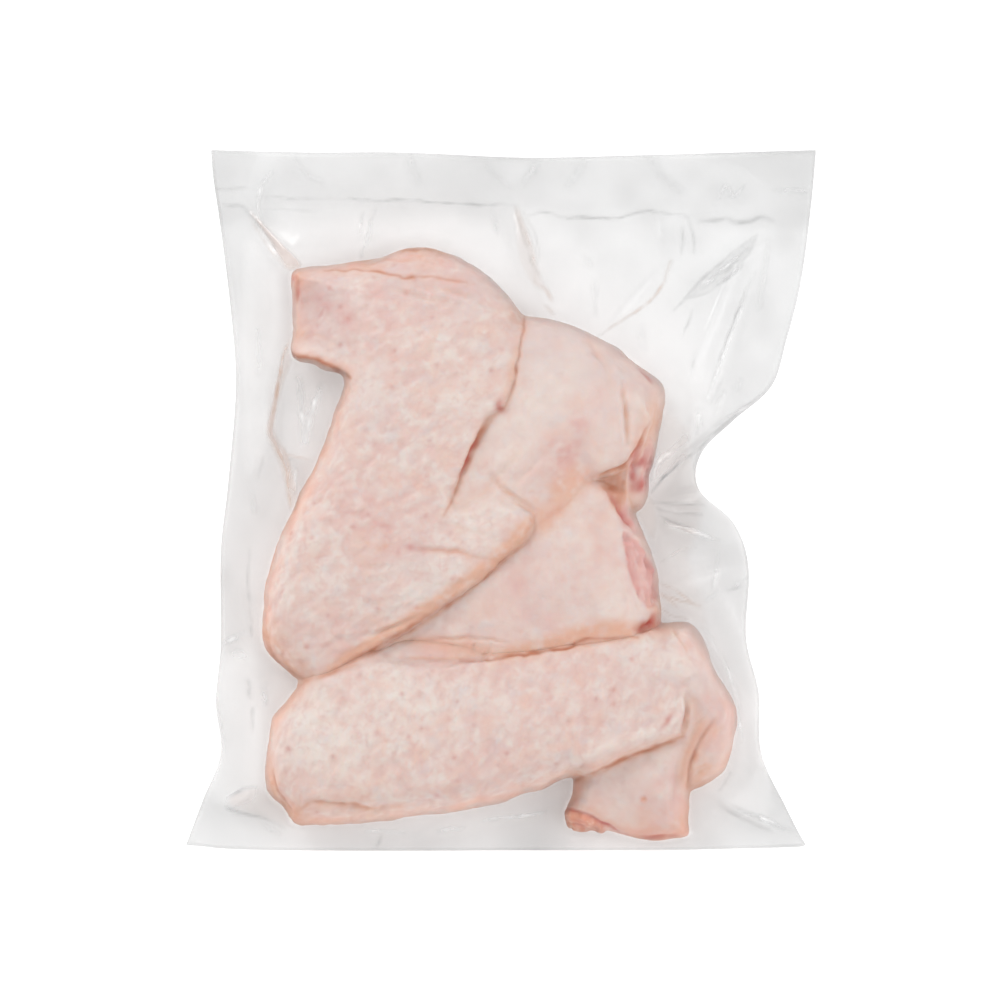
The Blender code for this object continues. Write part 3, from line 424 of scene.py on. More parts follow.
# Lines in the film, by mask: strength, half width and points.
FILM_LINES = {
    # Painted highlights: whiter streaks along the film's folds.
    "painted_film_light": [
        (0.8, 0.9, [(-91.5, 131), (-95.5, 126), (-97, 118), (-95.5, 111)]),
        (0.5, 1.0, [(-82, 138), (-78.5, 131), (-71.5, 127)]),
        (0.4, 1.6, [(-36, 138), (-35, 132), (-33, 127)]),
        (0.4, 1.1, [(-5.5, 134), (0, 128), (4, 125)]),
        (0.4, 1.6, [(15.5, 136), (11.5, 130), (9, 126)]),
        (0.4, 1.4, [(34, 137), (31, 131), (27, 126)]),
        (0.3, 1.6, [(60, 136), (66, 128), (72, 124)]),
        (0.5, 0.9, [(-50.5, 115), (-53, 106), (-55.5, 96)]),
        (0.4, 0.9, [(-55.5, 114), (-56.5, 104)]),
        (0.4, 1.2, [(-3.5, 116), (-1, 106)]),
        (0.5, 1.3, [(33, 96.5), (35.5, 93.5)]),
        (0.6, 0.7, [(101, 104), (91, 94), (80, 85)]),
        (0.4, 1.0, [(37.5, 87.5), (37.5, 74)]),
        (0.25, 1.8, [(56, 69), (56.5, 61)]),
        (0.8, 0.8, [(101, 90), (94, 72), (88, 56), (82.5, 40)]),
        (0.5, 1.0, [(106.5, 103), (103.5, 77)]),
        (0.4, 1.0, [(96, 48.5), (95, 44)]),
        (0.6, 0.8, [(89, 43), (86, 35)]),
        (0.6, 1.2, [(79, 36), (79, 27)]),
        (0.8, 0.9, [(74, 25), (68.5, 20), (63, 15), (60.5, 8)]),
        (0.6, 0.9, [(86, 30), (98, 37), (104, 40)]),
        (0.9, 0.8, [(65.5, -8.5), (75, -12), (87, -16)]),
        (0.5, 0.8, [(87, -21), (84.5, -36)]),
        (0.6, 1.0, [(82, -40), (86, -37)]),
        (0.5, 0.8, [(93, -35), (98.5, -31)]),
        (0.4, 0.8, [(64, -24), (72, -20), (78, -19)]),
        (0.8, 0.8, [(94.5, -85), (95.5, -96)]),
        (0.7, 0.9, [(94.5, -124), (104, -127), (117, -132.5)]),
        (0.9, 1.3, [(-110, -56.5), (-106, -55), (-102.5, -53.5)]),
        (0.5, 1.6, [(-108, -61), (-102, -62)]),
        (0.9, 1.3, [(-80.5, 49), (-79.5, 36), (-78.5, 23)]),
        (0.9, 1.3, [(-78, 23), (-75.5, 34), (-71.5, 46)]),
        (0.9, 1.1, [(-82, 13), (-82.5, 3)]),
        (0.4, 1.0, [(-97, 69), (-96.5, 50)]),
        (0.5, 0.9, [(-99, 2), (-98.5, -5)]),
        (0.6, 1.2, [(-95, -74), (-93.5, -81)]),
        (0.6, 0.7, [(-54, -132), (-39, -132.5)]),
        (0.8, 0.9, [(-25, -132), (-14.5, -130.5)]),
        (0.8, 0.7, [(-6.5, -127.5), (6, -126), (18, -124.5)]),
        (0.6, 0.9, [(-109.5, -121.5), (-105, -125)]),
        (0.5, 0.9, [(-95.5, -129), (-88.5, -133.5)]),
        (0.5, 0.7, [(96.5, 94), (86.5, 86)]),
        (0.6, 1.0, [(110, 124), (122, 123.5)]),
        (0.5, 0.8, [(87, 121), (90, 126), (93, 121), (97, 126)]),
        (0.5, 0.9, [(8, 112), (12, 102), (14, 94)]),
        (0.5, 0.8, [(80, -51), (88, -63), (93, -75), (95.5, -84)]),
    ],
    # Painted shade: dark lines along the film's creases and the seal.
    "film_shade_line": [
        (0.5, 0.6, [(102.5, 106), (92, 98), (80, 88), (75, 82), (69, 76)]),
        (0.5, 0.6, [(102, 105), (98.5, 98), (91, 89), (82, 83), (75, 81)]),
        (0.35, 0.5, [(99, 101), (90, 91.5), (81, 85)]),
        (0.4, 0.5, [(-96, 121), (-78, 120.5), (-60.5, 120)]),
        (0.9, 0.5, [(-60.5, 120.5), (-50.5, 119.5), (-40, 120), (-28.5, 119), (-12.5, 118), (6, 118)]),
        (0.5, 0.6, [(-114.5, 125), (-109, 124.5), (-102, 124.5)]),
        (0.7, 0.6, [(-111, 118), (-104, 117.5), (-101, 115), (-96.5, 110), (-92.5, 105), (-90, 100)]),
        (0.3, 0.6, [(-95.5, 116.5), (-73, 115.5)]),
        (0.9, 0.6, [(11.5, 114), (19, 115), (23.5, 113), (31.5, 113), (39.5, 112.5), (47.5, 113),
            (55.5, 115), (63.5, 115), (71.5, 114), (74.5, 112.5)]),
        (0.9, 1.0, [(79.5, 111.5), (85.5, 112), (89.5, 112.5), (95.5, 111), (103.5, 112.5),
            (108.5, 111.5)]),
        (0.6, 0.6, [(75, 113), (76.5, 106), (77.5, 98)]),
        (0.5, 0.6, [(72.5, 109), (72.5, 98)]),
        (0.5, 0.6, [(76, 75.5), (72.5, 65)]),
        (0.5, 0.7, [(77, 56), (76, 49)]),
        (0.6, 0.8, [(84, 38.5), (88.5, 48)]),
        (0.5, 0.6, [(99.5, 88), (93, 71), (87, 56)]),
        (0.9, 0.6, [(60, 3), (67, 11), (70.5, 14), (76, 18.5)]),
        (0.6, 0.6, [(60.5, -1), (70, -1.5), (81, -2)]),
        (0.8, 0.6, [(63.5, -6.5), (69, -9), (75, -11)]),
        (0.5, 0.6, [(62, -3), (68, -5), (80, -6)]),
        (0.5, 0.6, [(90, -36), (98, -34)]),
        (0.5, 0.8, [(-101, -20), (-100.5, -36), (-99.5, -49)]),
        (0.7, 0.6, [(-100, -50), (-99, -54)]),
        (0.4, 0.8, [(-97, 8.5), (-95, 17)]),
        (0.7, 1.0, [(-101, -72.5), (-100, -79)]),
        (0.6, 0.8, [(-99, -83), (-99, -92.5)]),
        (0.6, 0.7, [(-109, -119), (-102.5, -115), (-97, -114.5)]),
        (0.8, 0.7, [(-109.5, -123), (-95.5, -127), (-86, -131)]),
        (0.8, 0.7, [(87, -116), (91.5, -109)]),
        (0.7, 0.7, [(87, -121.5), (98, -128), (108, -132.5)]),
        (0.5, 0.8, [(-48, -134), (-50, -139)]),
        (0.45, 0.5, [(6, 116.5), (9, 104), (13.5, 92), (19, 84)]),
        (0.4, 0.5, [(9, 115.5), (13.5, 106), (15.5, 95)]),
    ],
    "tan": [
        (0.8, 0.7, [(68, 95.5), (64.5, 87), (60.5, 80.5), (52.5, 74.5), (39.5, 65.5)]),
        (0.9, 0.7, [(-84, 63), (-87, 55.5), (-89, 45.5), (-91, 35), (-92.5, 27)]),
        (0.9, 0.7, [(-92.5, 27), (-88, 17.5), (-85, 8.5), (-83.5, -3)]),
        (0.6, 0.5, [(-87, 21), (-84.5, 12.5), (-84, 3)]),
        (0.9, 0.7, [(-86, 18), (-75.5, 15.5)]),
        (0.8, 0.5, [(62, -32.5), (71.5, -37), (77.5, -42)]),
        (0.8, 0.5, [(62, -36), (70.5, -43)]),
        (0.7, 0.5, [(62.5, -38), (72, -40), (80, -42)]),
        (0.7, 0.5, [(62, -42), (68, -46), (74, -47)]),
        (0.3, 1.2, [(6.5, 116), (8.5, 109), (13, 95), (14, 88)]),
        (0.7, 0.8, [(13.5, 87), (17.5, 84), (20.5, 79)]),
        (0.6, 0.8, [(17.5, 77), (21.5, 73.5)]),
        (0.5, 0.6, [(-100.5, 113), (-92, 100), (-86, 93)]),
    ],
}

# Areas of a tint in the film, by mask: strength, softness of the edge and outline.
FILM_AREAS = {
    "juice": [
        (0.9, 1.0, [(-101, 116), (-95.5, 111), (-87, 102), (-79, 93.5), (-83.5, 91), (-86, 93),
            (-93, 104)]),
        (0.45, 1.5, [(5, 116), (8, 115), (14.5, 95), (17.5, 84), (13, 86), (7.5, 95)]),
        (0.4, 1.5, [(-109, -121), (-102.5, -115.5), (-95.5, -115), (-86, -123), (-82, -130.5),
            (-92, -128)]),
        (0.35, 3.0, [(65, 35), (75, 28), (75.5, 18), (81, -2), (75.5, -24), (81, -40), (80, -50), (64, -40),
            (62, -24), (59, 0), (61.5, 20)]),
        (0.7, 1.2, [(-83, 56), (-87, 45.5), (-89.5, 35), (-90, 27), (-85, 18), (-82, 8), (-80, -3),
            (-84, -3), (-87, 8.5), (-90, 17.5), (-94, 27), (-92, 37), (-90, 47), (-86, 62)]),
        (0.6, 2.0, [(52, 4), (60, 2), (63, -6), (61, -16), (56, -10), (52, -3)]),
    ],
    # Painted light: paler film over the floor's shade next to the meat.
    "painted_pale_light": [
        (0.5, 2.5, [(-84, 57), (-80, 55.5), (-61, 49), (-66, 33), (-74, 16), (-85.5, 18), (-88, 26),
            (-87, 40)]),
        (0.55, 5.0, [(64, 48), (76, 40), (78, 20), (70, 8), (58, 2), (58, 14), (62, 26)]),
        (0.5, 6.0, [(-98, 108), (-60, 113), (-8, 113), (6, 98), (0, 84), (-20, 96), (-42, 99), (-84, 90)]),
        (0.7, 6.0, [(-114, -66), (-96, -62), (-94, -118), (-118, -118)]),
        (0.6, 5.0, [(-104, 100), (-88, 92), (-86, 62), (-92, 20), (-104, 16)]),
    ],
    "clear": [
        (0.6, 5.0, [(14, 108), (40, 111), (70, 109), (66, 88), (52, 76), (38, 69), (22, 78)]),
        (0.5, 4.0, [(78, 106), (100, 104), (86, 60), (76, 50), (74, 80)]),
    ],
    "shade": [
        (0.9, 2.0, [(102.5, 106), (92, 98.5), (79, 87.5), (70, 77), (76, 80), (84, 84), (92, 89),
            (99, 98)]),
        (0.25, 2.0, [(-118, 142), (128, 142), (126, 118), (-116, 119)]),
        (0.5, 3.0, [(-118, 142), (-97, 142), (-99, 128), (-100, 113), (-116, 113)]),
        (0.5, 3.0, [(80, 142), (128, 142), (126, 112), (108, 110), (104, 126)]),
        (0.4, 3.0, [(79, 126), (108, 126), (110, 110), (79, 110)]),
    ],
}

PLAN_STEP = 0.88
PLAN_LOW = (-132.0, -146.0)
PLAN_CELLS = (301, 333)
VOXEL = 0.88
FIELD_MARGIN = 3
FIELD_HEIGHTS = (-1.2, 50)
RELAX_SHARE = 0.5
RELAX_PASSES = 3
LATTICE_SIZE = 32
LATTICE = np.random.default_rng(11).uniform(-1, 1, (LATTICE_SIZE,) * 3)


def each_row(table):
    """The rows of a table that is kept by mask, each with its mask in front."""
    return [(mask, *row) for mask, part in table.items() for row in part]


# Curves, distances and noise.

def curve_through(points, step, closed=False):
    """Even samples, about one step apart, of a smooth curve through the points."""
    knots = np.array(points, dtype=float)
    if closed:
        padded = np.vstack([knots[-1], knots, knots[0], knots[1]])
        spans = len(knots)
    else:
        padded = np.vstack([2 * knots[0] - knots[1], knots, 2 * knots[-1] - knots[-2]])
        spans = len(knots) - 1
    t = np.linspace(0, 1, 24, endpoint=False)[:, None]
    dense = []
    for i in range(spans):
        a, b, c, d = padded[i:i + 4]
        dense.append(0.5 * (2 * b + (c - a) * t + (2 * a - 5 * b + 4 * c - d) * t ** 2
                            + (3 * b - a - 3 * c + d) * t ** 3))
    last = knots[0] if closed else knots[-1]
    dense = np.vstack(dense + [last[None, :]])
    lengths = np.concatenate([[0], np.cumsum(np.hypot(*np.diff(dense, axis=0).T))])
    pieces = max(3, round(lengths[-1] / step))
    stops = np.linspace(0, lengths[-1], pieces + 1)
    samples = np.column_stack([np.interp(stops, lengths, dense[:, k]) for k in (0, 1)])
    return samples[:-1] if closed else samples


def depth_inside(x, y, outline):
    """Distance from each point to the outline, positive inside it and negative outside."""
    nearest = np.full(x.shape, np.inf)
    inside = np.zeros(x.shape, dtype=bool)
    for (x0, y0), (x1, y1) in zip(outline, np.roll(outline, -1, axis=0)):
        dx, dy = x1 - x0, y1 - y0
        t = np.clip(((x - x0) * dx + (y - y0) * dy) / (dx * dx + dy * dy), 0, 1)
        nearest = np.minimum(nearest, (x - x0 - t * dx) ** 2 + (y - y0 - t * dy) ** 2)
        if dy != 0:
            inside ^= ((y0 > y) != (y1 > y)) & (x < x0 + (y - y0) * dx / dy)
    return np.where(inside, 1, -1) * np.sqrt(nearest)


def distance_to_samples(x, y, samples):
    """Distance from each point to the nearest of the samples."""
    nearest = np.full(x.shape, np.inf)
    for sx, sy in samples:
        nearest = np.minimum(nearest, (x - sx) ** 2 + (y - sy) ** 2)
    return np.sqrt(nearest)


def near_curve(x, y, curve, reach):
    """The points near a curve, their distance to it and how far along it they lie, 0 to 1."""
    low, high = curve.min(axis=0) - reach, curve.max(axis=0) + reach
    near = np.where((x > low[0]) & (x < high[0]) & (y > low[1]) & (y < high[1]))[0]
    px, py = x[near], y[near]
    nearest = np.full(px.shape, np.inf)
    place = np.zeros(px.shape)
    spans = len(curve) - 1
    for k in range(spans):
        (x0, y0), (x1, y1) = curve[k], curve[k + 1]
        dx, dy = x1 - x0, y1 - y0
        t = np.clip(((px - x0) * dx + (py - y0) * dy) / (dx * dx + dy * dy), 0, 1)
        gap = (px - x0 - t * dx) ** 2 + (py - y0 - t * dy) ** 2
        closer = gap < nearest
        nearest = np.where(closer, gap, nearest)
        place = np.where(closer, (k + t) / spans, place)
    return near, np.sqrt(nearest), place


def quarter_round(depth, radius):
    """A quarter circle's rise from 0 at the edge to 1 at one radius inside it."""
    t = np.clip(depth / radius, 0, 1)
    return np.sqrt(1 - (1 - t) ** 2)


def along(x, y, start, end):
    """How far each point lies along the line from start to end, from 0 to 1."""
    dx, dy = end[0] - start[0], end[1] - start[1]
    return np.clip(((x - start[0]) * dx + (y - start[1]) * dy) / (dx * dx + dy * dy), 0, 1)


def noise(x, y, z, size, shift=0.0):
    """Smooth noise between about -1 and 1 with features of the given size."""
    cells, parts = [], []
    for value in (x, y, z):
        scaled = value / size + shift
        low = np.floor(scaled)
        t = scaled - low
        cells.append(low.astype(int))
        parts.append(t * t * (3 - 2 * t))
    total = 0
    for corner in itertools.product((0, 1), repeat=3):
        weight = 1
        for part, bit in zip(parts, corner):
            weight = weight * (part if bit else 1 - part)
        i, j, k = [(cell + bit) % LATTICE_SIZE for cell, bit in zip(cells, corner)]
        total = total + weight * LATTICE[i, j, k]
    return total


def flat_noise(x, y, size, shift):
    """Noise that is the same at every height."""
    return noise(x, y, x * 0, size, shift)


def drawn_noise(x, y, z, degrees, *octaves):
    """Noise drawn out along a direction; each octave has a strength, squeeze, size and shift."""
    c, s = math.cos(math.radians(degrees)), math.sin(math.radians(degrees))
    run, across = x * c + y * s, y * c - x * s
    return sum(strength * noise(run, across * squeeze, z, size, shift)
               for strength, squeeze, size, shift in octaves)


def wobbled(x, y, amount, size):
    """The points moved a little, so that lines drawn through them aren't too smooth."""
    return [value + amount * flat_noise(x, y, size, shift) for value, shift in ((x, 1.3), (y, 8.1))]


def smooth_step(low, high, value):
    """0 below low, 1 above high and smooth between."""
    t = np.clip((value - low) / (high - low), 0, 1)
    return t * t * (3 - 2 * t)


def bell(distance, reach):
    """1 at no distance, falling to nothing at about twice the reach."""
    return np.exp(-(distance / reach) ** 2)


def spot(x, y, place, reach):
    """A soft round spot: 1 at its place, falling to nothing around it."""
    return bell(np.hypot(x - place[0], y - place[1]), reach)


# The plan: maps over the table at an even step, on which shapes are worked out.

PLAN_X, PLAN_Y = np.meshgrid(PLAN_LOW[0] + PLAN_STEP * np.arange(PLAN_CELLS[0]),
                             PLAN_LOW[1] + PLAN_STEP * np.arange(PLAN_CELLS[1]), indexing="ij")


def plan_value(values, x, y):
    """A plan map's value at any points."""
    u = np.clip((x - PLAN_LOW[0]) / PLAN_STEP, 0, PLAN_CELLS[0] - 1.001)
    v = np.clip((y - PLAN_LOW[1]) / PLAN_STEP, 0, PLAN_CELLS[1] - 1.001)
    i, j = u.astype(int), v.astype(int)
    fu, fv = u - i, v - j
    return ((values[i, j] * (1 - fu) + values[i + 1, j] * fu) * (1 - fv)
            + (values[i, j + 1] * (1 - fu) + values[i + 1, j + 1] * fu) * fv)


def neighbours(z):
    """Each value's four neighbours, with the borders repeated."""
    padded = np.pad(z, 1, mode="edge")
    return padded[:-2, 1:-1], padded[2:, 1:-1], padded[1:-1, :-2], padded[1:-1, 2:]


def neighbour_mean(z):
    """The mean of each value's four neighbours."""
    return 0.25 * sum(neighbours(z))


def meat_maps():
    """Each mass's depth inside its outline, the depth inside them all, and the joint edge."""
    outlines = {name: curve_through(mass["outline"], 1.5, closed=True)
                for name, mass in WING_MASSES.items()}
    insides = {name: depth_inside(PLAN_X, PLAN_Y, outline) for name, outline in outlines.items()}
    edge_samples, edge_outward = [], []
    for name, outline in outlines.items():
        hidden = np.max([plan_value(insides[other], outline[:, 0], outline[:, 1])
                         for other in outlines if other != name], axis=0)
        tangent = np.roll(outline, -1, axis=0) - np.roll(outline, 1, axis=0)
        normal = np.column_stack([-tangent[:, 1], tangent[:, 0]])
        normal /= np.hypot(normal[:, 0], normal[:, 1])[:, None]
        ahead = outline + 2 * normal
        normal[plan_value(insides[name], ahead[:, 0], ahead[:, 1]) > 0] *= -1
        edge_samples.append(outline[hidden < 0])
        edge_outward.append(normal[hidden < 0])
    edge_samples = np.vstack(edge_samples)
    to_edge = distance_to_samples(PLAN_X, PLAN_Y, edge_samples)
    in_meat = np.max(list(insides.values()), axis=0) > 0
    depth = np.where(in_meat, to_edge, -to_edge)
    return insides, depth, edge_samples, np.vstack(edge_outward)


INSIDES, MEAT_DEPTH, EDGE_SAMPLES, EDGE_OUTWARD = meat_maps()


def bridge_width(x, y):
    """How widely masses blend at each point."""
    width = np.full(x.shape, LEAST_BLEND)
    for place, reach, most in SKIN_BRIDGES:
        width += most * spot(x, y, place, reach)
    return width


def mass_maps(name):
    """Plan maps of a mass: its depth, its round edge's radii above and below, and its height."""
    mass = WING_MASSES[name]
    t = along(PLAN_X, PLAN_Y, *mass["axis"])
    first, second = mass["heights"]
    full = first + (second - first) * t + mass["crown"] * 4 * t * (1 - t) - SEAM_HEIGHT
    for place, reach, drop in THIN_ENDS:
        full = full - drop * spot(PLAN_X, PLAN_Y, place, reach)
    outer = np.clip(1 - (MEAT_DEPTH - INSIDES[name]) / CREASE_REACH, 0, 1)
    inside = INSIDES[name] + CREASE_OVERLAP * (1 - outer)
    inside = inside + EDGE_WOBBLE * flat_noise(PLAN_X, PLAN_Y, 6.5, 2.6) * outer
    for _ in range(RIDGE_PASSES):
        inside = neighbour_mean(inside)
    rise = 1 - CROWN_SHARE + CROWN_SHARE * quarter_round(inside, CROWN_RADIUS)
    edge = np.full(PLAN_X.shape, OUTER_RADIUS)
    for place, reach, sharp in SHARP_EDGES:
        edge += (sharp - edge) * spot(PLAN_X, PLAN_Y, place, reach)
    radius = mass["crease"] + (edge - mass["crease"]) * outer
    under = UNDERSIDE_CREASE_RADIUS + (UNDERSIDE_RADIUS - UNDERSIDE_CREASE_RADIUS) * outer
    return inside, radius, under, full * rise


def mass_field(inside, radius, under, height, z):
    """Positive inside a mass, zero on its surface, and near it about the distance to it."""
    above = z > SEAM_HEIGHT
    across = np.where(above, radius, under)
    tall = np.where(above, height, SEAM_HEIGHT - MEAT_FLOOR)
    u = np.maximum(1 - inside / across, 0)
    w = np.abs(z - SEAM_HEIGHT) / tall
    s = np.sqrt(u * u + w * w) + 1e-3
    return (1 - s) * s / np.sqrt((u / across) ** 2 + (w / tall) ** 2 + 1e-6)


# Surface nets: a mesh of quads on the zero level of a field of voxels.

def surface_net(field, low, step):
    """Vertices and outward quads where the field changes sign."""
    inside = field > 0
    shape = np.array(field.shape)
    corner_slices = {c: tuple(slice(b, n - 1 + b) for b, n in zip(c, shape))
                     for c in itertools.product((0, 1), repeat=3)}
    count = sum(inside[s].astype(np.int8) for s in corner_slices.values())
    active = (count > 0) & (count < 8)
    index = np.full(active.shape, -1)
    index[active] = np.arange(active.sum())
    total = np.zeros((active.sum(), 3))
    weight = np.zeros(active.sum())
    for axis in range(3):
        for start in corner_slices:
            if start[axis] == 1:
                continue
            end = tuple(1 if k == axis else b for k, b in enumerate(start))
            f0 = field[corner_slices[start]][active]
            f1 = field[corner_slices[end]][active]
            crosses = (f0 > 0) != (f1 > 0)
            place = np.tile(np.array(start, dtype=float), (crosses.sum(), 1))
            place[:, axis] = f0[crosses] / (f0[crosses] - f1[crosses])
            total[crosses] += place
            weight[crosses] += 1
    points = (np.argwhere(active) + total / weight[:, None]) * step + np.array(low)
    quads = []
    for axis in range(3):
        first, second = [k for k in range(3) if k != axis]
        if axis == 1:
            first, second = second, first
        here = inside[tuple(slice(0, n - 1) if k == axis else slice(1, n - 1)
                            for k, n in enumerate(shape))]
        there = inside[tuple(slice(1, n) if k == axis else slice(1, n - 1)
                             for k, n in enumerate(shape))]
        for leaving in (True, False):
            cells = np.argwhere((here & ~there) if leaving else (there & ~here))
            cells += np.array([0 if k == axis else 1 for k in range(3)])
            ring = []
            for a, b in ((0, 0), (1, 0), (1, 1), (0, 1)):
                back = np.zeros(3, dtype=int)
                back[first], back[second] = a, b
                ring.append(index[tuple((cells - back).T)])
            ring = np.column_stack(ring)
            quads.append(ring if leaving else ring[:, ::-1])
    return points, np.vstack(quads)


def quad_edges(quads):
    """Each edge of the quads once."""
    pairs = np.vstack([quads[:, [k, (k + 1) % 4]] for k in range(4)])
    return np.unique(np.sort(pairs, axis=1), axis=0)


def relaxed(values, edges, share, passes):
    """Values moved towards the mean of their neighbours along the edges."""
    ends = np.concatenate([edges[:, 0], edges[:, 1]])
    others = np.concatenate([edges[:, 1], edges[:, 0]])
    degree = np.bincount(ends, minlength=len(values))
    values = values.copy()
    for _ in range(passes):
        for k in range(values.shape[1]):
            mean = np.bincount(ends, weights=values[others, k], minlength=len(values)) / degree
            values[:, k] += share * (mean - values[:, k])
    return values


def vertex_normals(points, quads):
    """Unit normals of the vertices, from the quads round each."""
    face = np.cross(points[quads[:, 2]] - points[quads[:, 0]],
                    points[quads[:, 3]] - points[quads[:, 1]])
    normals = np.column_stack([
        sum(np.bincount(quads[:, corner], weights=face[:, k], minlength=len(points))
            for corner in range(4)) for k in range(3)])
    return normals / np.linalg.norm(normals, axis=1)[:, None]


def mesh_object(name, points, quads, masks):
    """A smooth mesh object in metres, with each mask as a value on its points."""
    mesh = bpy.data.meshes.new(name)
    mesh.vertices.add(len(points))
    mesh.vertices.foreach_set("co", (points * MM).ravel())
    mesh.loops.add(quads.size)
    mesh.loops.foreach_set("vertex_index", quads.ravel().astype(np.int32))
    mesh.polygons.add(len(quads))
    mesh.polygons.foreach_set("loop_start", np.arange(0, quads.size, 4, dtype=np.int32))
    mesh.update(calc_edges=True)
    mesh.validate()
    mesh.shade_smooth()
    for mask, values in masks.items():
        layer = mesh.attributes.new(mask, "FLOAT", "POINT")
        layer.data.foreach_set("value", values.astype(np.float32))
    made = bpy.data.objects.new(name, mesh)
    bpy.context.scene.collection.objects.link(made)
    return made


# The wings.

def wing_field(names):
    """The field of a wing's masses on a box of voxels, and the box's lowest corner."""
    reach = np.max([INSIDES[name] for name in names], axis=0) > -FIELD_MARGIN
    rows, columns = np.where(reach.any(axis=1))[0], np.where(reach.any(axis=0))[0]
    window = (slice(rows[0], rows[-1] + 1), slice(columns[0], columns[-1] + 1))
    z = np.arange(*FIELD_HEIGHTS, VOXEL, dtype=np.float32)[None, None, :]
    blend = bridge_width(PLAN_X, PLAN_Y)[window][:, :, None].astype(np.float32)
    field = None
    for name in names:
        maps = [m[window][:, :, None].astype(np.float32) for m in mass_maps(name)]
        one = mass_field(*maps, z)
        if field is None:
            field = one
            continue
        share = np.clip(0.5 + 0.5 * (field - one) / blend, 0, 1)
        field = one + (field - one) * share + blend * share * (1 - share)
    low = (PLAN_X[window][0, 0], PLAN_Y[window][0, 0], z[0, 0, 0])
    return field.astype(np.float32), low


def second_level(x, y, z):
    """How far inside the second of the meat's masses each point is; about 0 in a crease."""
    levels = []
    for name in WING_MASSES:
        maps = [plan_value(m, x, y) for m in mass_maps(name)]
        levels.append(mass_field(*maps, z))
    return np.sort(np.array(levels), axis=0)[-2]


def follicle_places():
    """Places of the feather follicles over the whole meat, at uneven spacing."""
    rng = np.random.default_rng(3)
    places = []
    cells = {}
    for _ in range(FOLLICLE_TRIES):
        place = (rng.uniform(-98, 96), rng.uniform(-138, 100))
        gap = FOLLICLE_GAP * rng.uniform(0.75, 1.5)
        cell = (int(place[0] // FOLLICLE_CELL), int(place[1] // FOLLICLE_CELL))
        near = [p for i in (-1, 0, 1) for j in (-1, 0, 1)
                for p in cells.get((cell[0] + i, cell[1] + j), ())]
        if all(math.dist(p, place) > gap for p in near):
            cells.setdefault(cell, []).append(place)
            places.append(place)
    return places


def nearest_follicle(x, y):
    """Distance from each point to the nearest follicle, and that follicle's own random number."""
    places = follicle_places()
    tree = kdtree.KDTree(len(places))
    for k, place in enumerate(places):
        tree.insert((place[0], place[1], 0), k)
    tree.balance()
    found = [tree.find((px, py, 0)) for px, py in zip(x, y)]
    strength = np.random.default_rng(5).uniform(0, 1, len(places))
    return np.array([f[2] for f in found]), strength[np.array([f[1] for f in found])]


def goose_skin(x, y, z):
    """How rough the skin is: full on the two flats and faint on the web and the drumette."""
    upper = smooth_step(-4, 4, plan_value(INSIDES["upper_wing_flat"], x, y))
    lower = smooth_step(-4, 4, plan_value(INSIDES["lower_wing_flat"], x, y))
    first = drawn_noise(x, y, z, 32, (1.0, 1.9, 6.0, 4.1), (0.8, 1.7, 3.2, 1.7))
    second = drawn_noise(x, y, z, 58, (1.0, 2.2, 6.0, 7.3), (0.8, 1.7, 3.0, 2.9))
    plain = drawn_noise(x, y, z, 0, (0.9, 1.0, 7.0, 3.7), (0.6, 1.0, 3.2, 5.1))
    return GOOSE_HEIGHT * (first * upper * (1 - lower) + second * lower
                           + plain * (1 - np.maximum(upper, lower)))


def skin_relief(x, y, z, gap, strength, masks):
    """How far the skin stands out from the smooth meat; adds the lines' colours to the masks."""
    shown = smooth_step(SEAM_HEIGHT - 4, SEAM_HEIGHT + 5, z)
    goose = goose_skin(x, y, z)
    # Painted shade: the low parts of the goose skin are painted darker.
    masks["furrow_shade"] = smooth_step(0.08, -0.5, goose)
    cut = np.maximum(masks["orange"], masks["flesh"]) * shown
    relief = SWELL_HEIGHT * noise(x, y, z, 17.0) + goose * shown
    relief += CUT_ROUGHNESS * noise(x, y, z, 3.4, 9.2) * cut
    relief += FINE_ROUGHNESS * noise(x, y, z, 1.9, 6.7)
    for place, reach, height in SWELLS:
        relief += height * spot(x, y, place, reach) * shown
    dome = bell(gap, FOLLICLE_RADIUS) - PIT_SHARE * bell(gap, PIT_RADIUS)
    relief += FOLLICLE_HEIGHT * (0.3 + strength) * dome * shown
    wobbled_points = wobbled(x, y, LINE_WOBBLE, 3.4)
    broken = 0.75 + 0.45 * flat_noise(x, y, 3.0, 5.9)
    for mask, most, depth, half_width, points in each_row(SKIN_LINES):
        curve = curve_through(points, 1.5)
        near, distance, t = near_curve(*wobbled_points, curve, 5 * half_width)
        taper = np.sin(math.pi * (0.12 + 0.76 * t)) * shown[near]
        relief[near] -= depth * taper * bell(distance, half_width)
        if depth > 0:
            lip = bell(distance - LIP_PLACE * half_width, half_width)
            relief[near] += LIP_SHARE * depth * taper * lip
        tint = most * taper * bell(distance, 1.1 * half_width) * broken[near]
        masks[mask][near] = np.maximum(masks[mask][near], tint)
    return relief


